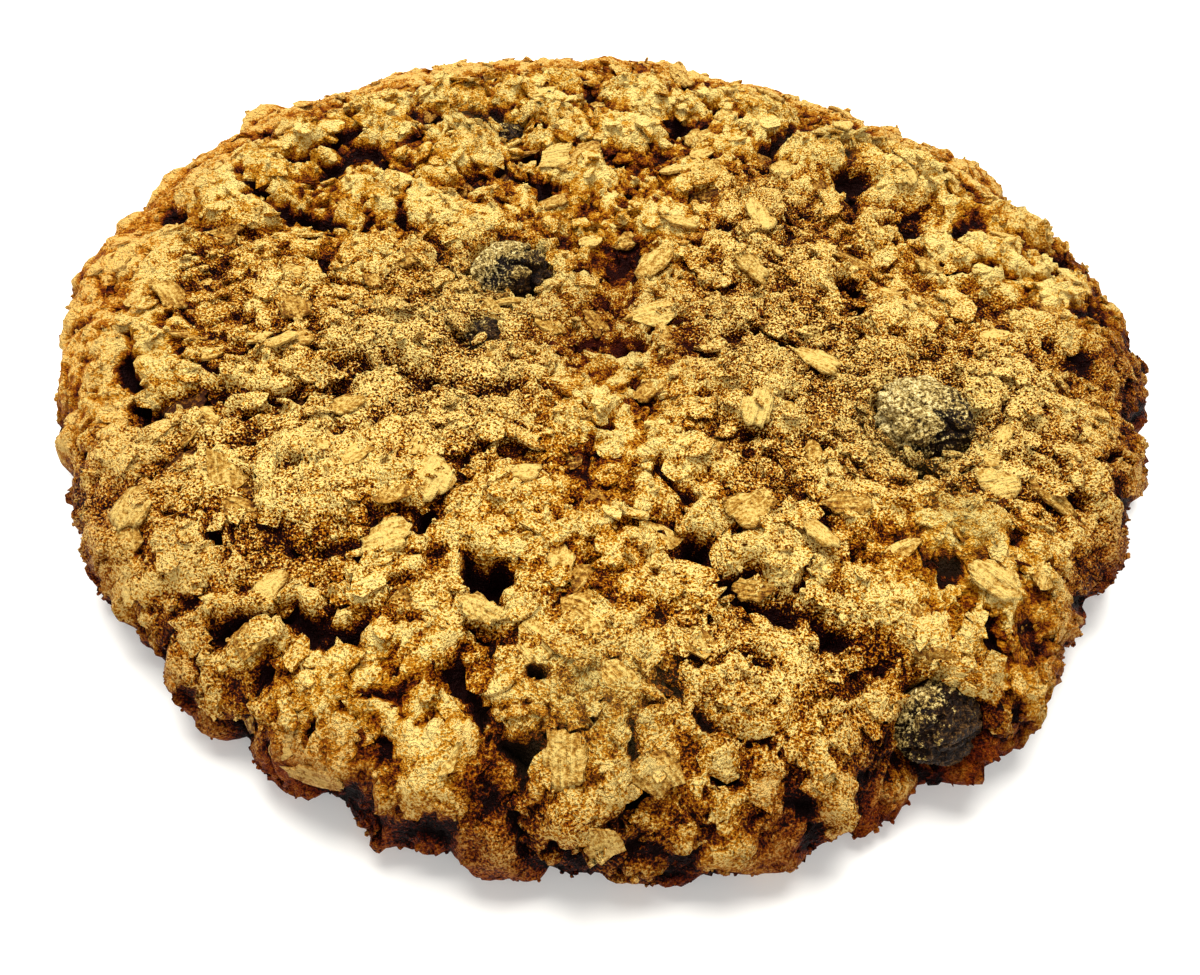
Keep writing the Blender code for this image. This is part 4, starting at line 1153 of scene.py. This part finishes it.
def flake_shapes(length, width, phase, curl, ragged, rings, sides):
    """Oval plates on a grid of turn and ring share t: radius t(1 + small waves of the turn) times a
    ragged share, height a crown falling as t squared with a groove along the middle, and an
    underside below it. Returns local places as (flakes, points, 3), the faces of one plate, and
    the ring share."""
    turn = np.arange(sides) * 2.0 * math.pi / sides
    shares = np.arange(1, rings + 1) / rings
    wave = 1.0 + sum(
        size * np.cos(count * turn + phase[:, slot : slot + 1])
        for slot, (count, size) in enumerate(FLAKE_WAVES)
    )
    wave = (wave * ragged)[:, None, :]
    t = shares[None, :, None]
    thick = np.clip(width / FLAKE_FULL_WIDTH, FLAKE_THIN, 1.0)[:, None, None]
    long, wide = length[:, None, None], width[:, None, None]
    x = long / 2 * t * wave * np.cos(turn)
    y = wide / 2 * t * wave * np.sin(turn)
    bend = curl[:, 0, None, None] * (x / long) ** 2 + curl[:, 1, None, None] * x * y / (long * wide)
    depth, share = FLAKE_GROOVE
    groove = depth * np.exp(-((y / (share * wide)) ** 2)) * (1.0 - t**2)
    top = FLAKE_BROW * (np.sqrt(np.clip(1.0 - FLAKE_ROUNDING * t**4, 0.0, 1.0)) + 1.0 - t**2)
    top = top - groove + bend
    count = len(length)
    upper = np.stack([x, y, top * thick], axis=-1).reshape(count, -1, 3)
    low = (FLAKE_LOW + bend)[:, -1]
    under = np.stack([x[:, -1] * FLAKE_UNDER, y[:, -1] * FLAKE_UNDER, low], axis=-1)
    crown, keel = np.zeros((2, count, 1, 3))
    crown[:, 0, 2] = FLAKE_CROWN * thick[:, 0, 0]
    keel[:, 0, 2] = FLAKE_KEEL
    local = np.concatenate([upper, crown, under, keel], axis=1)
    rim, below = (rings - 1) * sides, rings * sides + 1
    quads = np.concatenate(
        [
            ring_band(inner, outer, sides)
            for inner, outer in ((ring * sides, (ring + 1) * sides) for ring in range(rings - 1))
        ]
        + [ring_band(rim, below, sides)]
    )
    fans = np.concatenate(
        [ring_fan(rings * sides, 0, sides), ring_fan(below + sides, below, sides)[:, ::-1]]
    )
    edge = np.concatenate([np.repeat(shares, sides), [0.0], np.ones(sides), [KEEL_EDGE]])
    return local, quads, fans, edge


def lay_flakes(name, crust, spots, length, width, turn, tilt, sink, rings, sides, seed, jag):
    """Plates laid on the crust: local x along each flake, local z along the crust's normal leaned
    by a tilt that lessens down the wall, middle at the crust point less a sink along the normal."""
    rng = np.random.default_rng(seed)
    count = len(spots)
    ragged = rng.uniform(jag, FLAKE_REACH, (count, sides))
    phase = rng.uniform(0, FLAKE_PHASES, (count, len(FLAKE_WAVES)))
    curl = rng.uniform(-FLAKE_CURL, FLAKE_CURL, (count, 2))
    local, *faces, edge = flake_shapes(length, width, phase, curl, ragged, rings, sides)
    local = local + rng.normal(0.0, FLAKE_NOISE, local.shape)
    upper = fade_in(crust.places[spots, 2:], *WALL_FLAKES)
    normal = unit(crust.normals[spots] + tilt * (WALL_TILT + (1.0 - WALL_TILT) * upper))
    ahead = np.stack([np.cos(turn), np.sin(turn), np.zeros(count)], axis=1)
    across = unit(np.cross(normal, ahead))
    axes = np.stack([np.cross(across, normal), across, normal], axis=1)
    base = crust.points[spots] - normal * (sink[:, None] + WALL_SINK * (1.0 - upper))
    offset = rng.uniform(0.0, FIBRE_OFFSETS, count)[:, None]
    item = scatter(name, crust, spots, local, axes, base, faces, edge**2, rng, rings > 2)
    set_attribute(item, "along", (local[..., 0] + offset).ravel())
    set_attribute(item, "across", (local[..., 1] + offset).ravel())
    return item


def shared_dough(settings):
    """The dough's material, made once."""
    return bpy.data.materials.get("baked_dough") or dough_material(settings)


def clear_of(spot, reach, taken):
    """Whether a flake at a spot keeps clear of everything already placed."""
    return all(math.dist(spot, other) > FLAKE_SPACING * (reach + far) for other, far in taken)


def chosen_flakes():
    """Place, length, width and turn of the flakes that the solids have too."""
    found = []
    taken = [
        (raisin_centre(spec)[:2], max(spec[1][:2]) + RAISIN_CLEARANCE) for spec in RAISINS.values()
    ]
    for x, y, length, width, turn in LARGE_FLAKES:
        spot = true_place(x, y, FLAKE_LEVEL)
        found.append((spot, length, width, turn))
        taken.append((spot, (length + width) / 4))
    rng = np.random.default_rng(SMALL_SEED)
    while len(found) < len(LARGE_FLAKES) + SMALL_FLAKES:
        bearing = rng.uniform(0.0, 2 * math.pi)
        reach = SMALL_REACH * math.sqrt(rng.uniform())
        spot = (reach * math.cos(bearing), reach * math.sin(bearing))
        length = rng.uniform(*SMALL_LENGTH)
        width = length * rng.uniform(*SMALL_WIDTH)
        turn = rng.uniform(0.0, 180.0)
        if clear_of(spot, length / 2, taken):
            found.append((spot, length, width, turn))
            taken.append((spot, length / 2))
    return found


def away_from_raisins(points, gap):
    """Whether each point keeps a gap from every raisin."""
    far = np.ones(len(points), bool)
    for spec in RAISINS.values():
        far &= np.linalg.norm(points - raisin_centre(spec), axis=1) > max(spec[1]) + gap
    return far


def strewn_spots(crust, count, seed, deepest, lowest, gap):
    """Random points of the crust, not too deep in a hollow, too low on the wall or by a raisin."""
    rng = np.random.default_rng(seed)
    bare = rng.random(len(crust.rim)) < RIM_BARE * crust.rim
    upper = (crust.hollow < deepest) & (crust.places[:, 2] > lowest)
    open_spots = np.flatnonzero(upper & ~bare & away_from_raisins(crust.points, gap))
    return rng.choice(open_spots, count, replace=False)


def collar_spots(crust, count, seed):
    """Random points of the crust just outside the upper half of each large raisin's pocket."""
    rng = np.random.default_rng(seed)
    found = []
    lapped = [spec for name, spec in RAISINS.items() if name != BARE_RAISIN]
    for spec in lapped:
        local = (crust.points - raisin_centre(spec)) @ turn_matrix(*spec[2])
        local = local / (np.array(spec[1]) + POCKET_GAP)
        reach = np.linalg.norm(local, axis=1)
        ring = (reach > COLLAR[0]) & (reach < COLLAR[1]) & (local[:, 2] > COLLAR_LOWEST)
        found.append(rng.choice(np.flatnonzero(ring), count // len(lapped), replace=False))
    return np.concatenate(found)


def strew_flakes(crust, entry, number):
    """Flakes of one kind strewn over the crust, or round the raisins."""
    name, sizes, widths, lean, depth, deepest, lowest, jag, sides, seed = entry
    if lowest is None:
        spots = collar_spots(crust, number, seed + 1)
    else:
        spots = strewn_spots(crust, number, seed + 1, deepest, lowest, STREWN_GAP)
    rng = np.random.default_rng(seed)
    number = len(spots)
    length = rng.uniform(*sizes, number)
    width = length * rng.uniform(*widths, number)
    turn = rng.uniform(0.0, 2 * math.pi, number)
    tilt = rng.normal(0.0, lean, (number, 3))
    sink = rng.uniform(*depth, number)
    return lay_flakes(
        name, crust, spots, length, width, turn, tilt, sink, STREWN_RINGS, sides, seed + 2, jag
    )


def strew_crumbs(crust, count, largest):
    """Crumbs and sugar grains half sunk in the crust: each a ball of a few bands and sides, its
    radius varied point by point, stretched and turned."""
    rng = np.random.default_rng(CRUMB_SEEDS[0])
    spots = strewn_spots(crust, count, CRUMB_SEEDS[1], *CRUMB_LIMITS)
    ball, *faces = globe(CRUMB_BANDS, CRUMB_SIDES)
    ball = np.roll(ball, -1, axis=1)
    size = CRUMB_SMALLEST + (largest - CRUMB_SMALLEST) * rng.uniform(0, 1, count) ** CRUMB_POWER
    rough = rng.uniform(*CRUMB_ROUGH, (count, len(ball), 1))
    stretch = rng.uniform(*CRUMB_STRETCH, (count, 1, 3))
    first = unit(rng.normal(size=(count, 3)))
    second = unit(np.cross(first, rng.normal(size=(count, 3))))
    axes = np.stack([first, second, np.cross(first, second)], axis=1)
    local = ball[None] * rough * stretch * size[:, None, None]
    base = crust.points[spots] + crust.normals[spots] * size[:, None] * CRUMB_RISE
    edge = np.zeros(len(ball))
    return scatter("crumbs", crust, spots, local, axes, base, faces, edge, rng, False)


def wrinkles(directions, seed):
    """Share of a raisin's size left at each direction, under 1 in its creases, and how ridged it
    is. A crease is as deep as a noise is near zero, up to a half width."""
    bent = directions * RAISIN_GRAIN
    bent = bent + RAISIN_BEND[1] * vector_noise(directions, RAISIN_BEND[0], seed)
    broad, fine, finest = (
        np.clip(np.abs(value_noise(bent, cell, seed + step)) / half, 0.0, 1.0)
        for cell, half, _, step in (BROAD_CREASE, FINE_CREASE, FINEST_CREASE)
    )
    left = 1.0 - BROAD_CREASE[2] * (1.0 - broad) ** BROAD_EDGE
    left = left - FINE_CREASE[2] * (1.0 - fine) - FINEST_CREASE[2] * (1.0 - finest)
    cell, height, step = SKIN_GRAIN
    left = left - height * value_noise(bent, cell, seed + step)
    return left, RIDGE_SHARES @ np.stack([broad, fine, finest])


def grow_raisin(name, spec):
    """A raisin: an oval whose radius shrinks in creases along the zero lines of a noise."""
    _, half, angles, seed = spec
    directions, *faces = globe(RAISIN_BANDS, RAISIN_SIDES)
    left, ridge = wrinkles(directions, seed)
    turned = turn_matrix(*angles).T
    points = directions * left[:, None] * half @ turned + raisin_centre(spec)
    item = make_mesh(name + "_skin", fit_box(points), *faces)
    set_attribute(item, "ridge", ridge)
    # Each raisin's dusting, plus painted light: a paler cover leaning to the left, back and top.
    set_attribute(item, "dust_and_light", RAISIN_DUST[name] + directions @ turned @ DUST_AND_LIGHT_LEAN)
    return item


# The floor: cell size of its faint clouds, its grey and their share in it, roughness, own light.
FLOOR_CLOUDS = 60.0
FLOOR_TONE = (0.9, 0.02)
FLOOR_ROUGHNESS = 0.9
FLOOR_GLOW = 0.12
BLACK, WHITE = (0.0, 0.0, 0.0, 1.0), (1.0, 1.0, 1.0, 1.0)


def floor_material():
    """Plain matt white."""
    n = Nodes("floor")
    tone = n.total(FLOOR_TONE[0], (n.noise(n.coordinates(), FLOOR_CLOUDS), FLOOR_TONE[1]))
    for name, value in (
        ("Base Color", n.mix(tone, BLACK, WHITE)),
        ("Roughness", FLOOR_ROUGHNESS),
        ("Emission Color", WHITE),
        ("Emission Strength", FLOOR_GLOW),
    ):
        n.feed(n.shader.inputs[name], value)
    return n.material


def lay_floor():
    """A flat square at the level of the underside."""
    corners = FLOOR_REACH * np.array([(-1, -1, 0), (1, -1, 0), (1, 1, 0), (-1, 1, 0)])
    floor = make_mesh("floor", corners, np.array([[0, 1, 2, 3]]), np.zeros((0, 3), int))
    floor.data.materials.append(floor_material())


def put_in_place(name, data, columns):
    """An object whose right, up and backward directions and place are the four columns."""
    item = bpy.data.objects.new(name, data)
    item.matrix_world = Matrix(
        [[column[row] for column in columns] for row in range(3)] + [[0, 0, 0, 1]]
    )
    bpy.context.scene.collection.objects.link(item)
    return item


def add_light(name, power, place, size, colour):
    """A square soft light at a place in metres, turned to face LIGHT_AIM."""
    lamp = bpy.data.lights.new(name, "AREA")
    lamp.shape = "SQUARE"
    lamp.size = size
    lamp.energy = power
    lamp.color = colour
    back = unit(np.subtract(place, LIGHT_AIM))
    right = unit(np.cross(LIGHT_UP, back))
    put_in_place(name, lamp, (right, np.cross(back, right), back, place))


def add_camera():
    """The camera at EYE."""
    camera = bpy.data.cameras.new("view")
    camera.lens = LENS
    camera.sensor_width = SENSOR
    camera.clip_start = CLIP_START
    place = np.add(EYE, PLAN_MOVE) * MM
    return put_in_place("view", camera, (VIEW_RIGHT, VIEW_UP, VIEW_BACK, place))


def make_sky():
    """An even pale light from all round."""
    world = bpy.data.worlds.new("surround")
    world.use_nodes = True
    sky = world.node_tree.nodes["Background"]
    sky.inputs["Color"].default_value = SKY_COLOUR
    sky.inputs["Strength"].default_value = SKY_STRENGTH
    return world


class CookieSettings(bpy.types.PropertyGroup):
    """Sizes and amounts that a user would change."""

    grid: bpy.props.IntProperty(
        name="Crust grid", description="Points along each side of the crust grid",
        default=GRID, min=51, max=301,
    )  # fmt: skip
    medium_flakes: bpy.props.IntProperty(
        name="Medium flakes", description="How many half-buried oat flakes",
        default=130, min=0, max=600,
    )  # fmt: skip
    coated_flakes: bpy.props.IntProperty(
        name="Coated flakes", description="How many flakes coated in dough",
        default=900, min=0, max=2000,
    )  # fmt: skip
    small_flakes: bpy.props.IntProperty(
        name="Small flakes", description="How many broken bits of flake",
        default=3200, min=0, max=4000,
    )  # fmt: skip
    collar_flakes: bpy.props.IntProperty(
        name="Collar flakes", description="How many flakes lap over the raisins' edges",
        default=112, min=0, max=400,
    )  # fmt: skip
    crumbs: bpy.props.IntProperty(
        name="Crumbs", description="How many crumbs and sugar grains",
        default=4600, min=0, max=5400,
    )  # fmt: skip
    crumb_size: bpy.props.FloatProperty(
        name="Crumb size", description="Half the size of the largest crumb", default=0.36 * MM,
        min=0.0002, max=0.002, unit="LENGTH", subtype="DISTANCE", precision=5,
    )  # fmt: skip
    rim_colour: bpy.props.FloatVectorProperty(
        name="Rim", description="Tint of the smooth raised rim", default=linear(RIM_COLOUR),
        size=4, min=0.0, max=1.0, subtype="COLOR",
    )  # fmt: skip
    toast_colour: bpy.props.FloatVectorProperty(
        name="Toast", description="Tint of the toasted wall", default=linear(TOAST_COLOUR),
        size=4, min=0.0, max=1.0, subtype="COLOR",
    )  # fmt: skip
    patch_colour: bpy.props.FloatVectorProperty(
        name="Patches", description="Colour of the crust over buried raisins",
        default=linear(GREY_COLOUR), size=4, min=0.0, max=1.0, subtype="COLOR",
    )  # fmt: skip
    key_power: bpy.props.FloatProperty(
        name="Main light", description="Power of the soft light above",
        default=25.0, min=0.0, unit="POWER",
    )  # fmt: skip
    fill_power: bpy.props.FloatProperty(
        name="Fill light", description="Power of the soft light in front",
        default=0.6, min=0.0, unit="POWER",
    )  # fmt: skip


_crust = {}


def crust_for(settings):
    """The crust for the settings' grid, worked out once."""
    if settings.grid not in _crust:
        _crust[settings.grid] = Crust(settings.grid)
    return _crust[settings.grid]


class COOKIE_OT_dough(bpy.types.Operator):
    """Build the craggy dough"""

    bl_idname = "cookie.dough"
    bl_label = "Dough"

    def execute(self, context):
        settings = context.scene.cookie
        item = bake_dough(crust_for(settings))
        finish_piece(item, shared_dough(settings), "dough", "cookie")
        return {"FINISHED"}


class COOKIE_OT_flakes(bpy.types.Operator):
    """Lay the oat flakes, large and small"""

    bl_idname = "cookie.flakes"
    bl_label = "Oat flakes"

    def execute(self, context):
        settings = context.scene.cookie
        crust = crust_for(settings)
        oat, dough = oat_material(settings), shared_dough(settings)
        chosen = chosen_flakes()
        spots = np.array([crust.nearest(*spot) for spot, *_ in chosen])
        length, width, turn = np.array([entry[1:] for entry in chosen]).T
        rings, sides, jag, lean, rise, lean_seed, seed = LARGE_FLAKE
        tilt = np.random.default_rng(lean_seed).normal(0.0, lean, (len(chosen), 3))
        item = lay_flakes(
            "oat_flakes_large", crust, spots, length, width, np.radians(turn), tilt,
            np.full(len(chosen), -rise), rings, sides, seed, jag,
        )  # fmt: skip
        finish_piece(item, oat, "dough")
        amounts = (
            settings.medium_flakes,
            settings.coated_flakes,
            settings.small_flakes,
            settings.collar_flakes,
        )
        for entry, number, coat in zip(STREWN_FLAKES, amounts, (oat, dough, dough, dough)):
            finish_piece(strew_flakes(crust, entry, number), coat, "dough")
        return {"FINISHED"}


class COOKIE_OT_crumbs(bpy.types.Operator):
    """Strew crumbs and sugar grains over the crust"""

    bl_idname = "cookie.crumbs"
    bl_label = "Crumbs"

    def execute(self, context):
        settings = context.scene.cookie
        item = strew_crumbs(crust_for(settings), settings.crumbs, settings.crumb_size / MM)
        finish_piece(item, shared_dough(settings), "dough")
        return {"FINISHED"}


class COOKIE_OT_raisins(bpy.types.Operator):
    """Set the wrinkled raisins in their pockets"""

    bl_idname = "cookie.raisins"
    bl_label = "Raisins"

    def execute(self, context):
        material = raisin_material()
        for name, spec in RAISINS.items():
            finish_piece(grow_raisin(name, spec), material, "raisin", name)
        return {"FINISHED"}


class COOKIE_OT_stage(bpy.types.Operator):
    """Put in the floor, lights and camera"""

    bl_idname = "cookie.stage"
    bl_label = "Stage"

    def execute(self, context):
        scene = context.scene
        lay_floor()
        scene.camera = add_camera()
        add_light("main", scene.cookie.key_power, *MAIN_LIGHT)
        add_light("fill", scene.cookie.fill_power, *FILL_LIGHT)
        scene.world = make_sky()
        scene.view_settings.view_transform = "Standard"
        scene.view_settings.look = "None"
        scene.view_settings.exposure = 0.0
        return {"FINISHED"}


class COOKIE_PT_panel(bpy.types.Panel):
    """Sidebar panel of the cookie's pieces"""

    bl_label = "Cookie"
    bl_idname = "COOKIE_PT_panel"
    bl_space_type = "VIEW_3D"
    bl_region_type = "UI"
    bl_category = "Cookie"

    def draw(self, context):
        layout = self.layout
        settings = context.scene.cookie
        for key in settings.__annotations__:
            layout.prop(settings, key)
        for operator in OPERATORS:
            layout.operator(operator.bl_idname)


OPERATORS = (
    COOKIE_OT_dough,
    COOKIE_OT_flakes,
    COOKIE_OT_crumbs,
    COOKIE_OT_raisins,
    COOKIE_OT_stage,
)
CLASSES = (CookieSettings, *OPERATORS, COOKIE_PT_panel)


def register():
    """Adds the settings, operators and panel."""
    for item in CLASSES:
        bpy.utils.register_class(item)
    bpy.types.Scene.cookie = bpy.props.PointerProperty(type=CookieSettings)


def unregister():
    """Takes them away again."""
    del bpy.types.Scene.cookie
    for item in reversed(CLASSES):
        bpy.utils.unregister_class(item)


def main():
    """Builds every piece and the stage."""
    register()
    bpy.ops.cookie.dough()
    bpy.ops.cookie.flakes()
    bpy.ops.cookie.crumbs()
    bpy.ops.cookie.raisins()
    bpy.ops.cookie.stage()


if __name__ == "__main__":
    main()
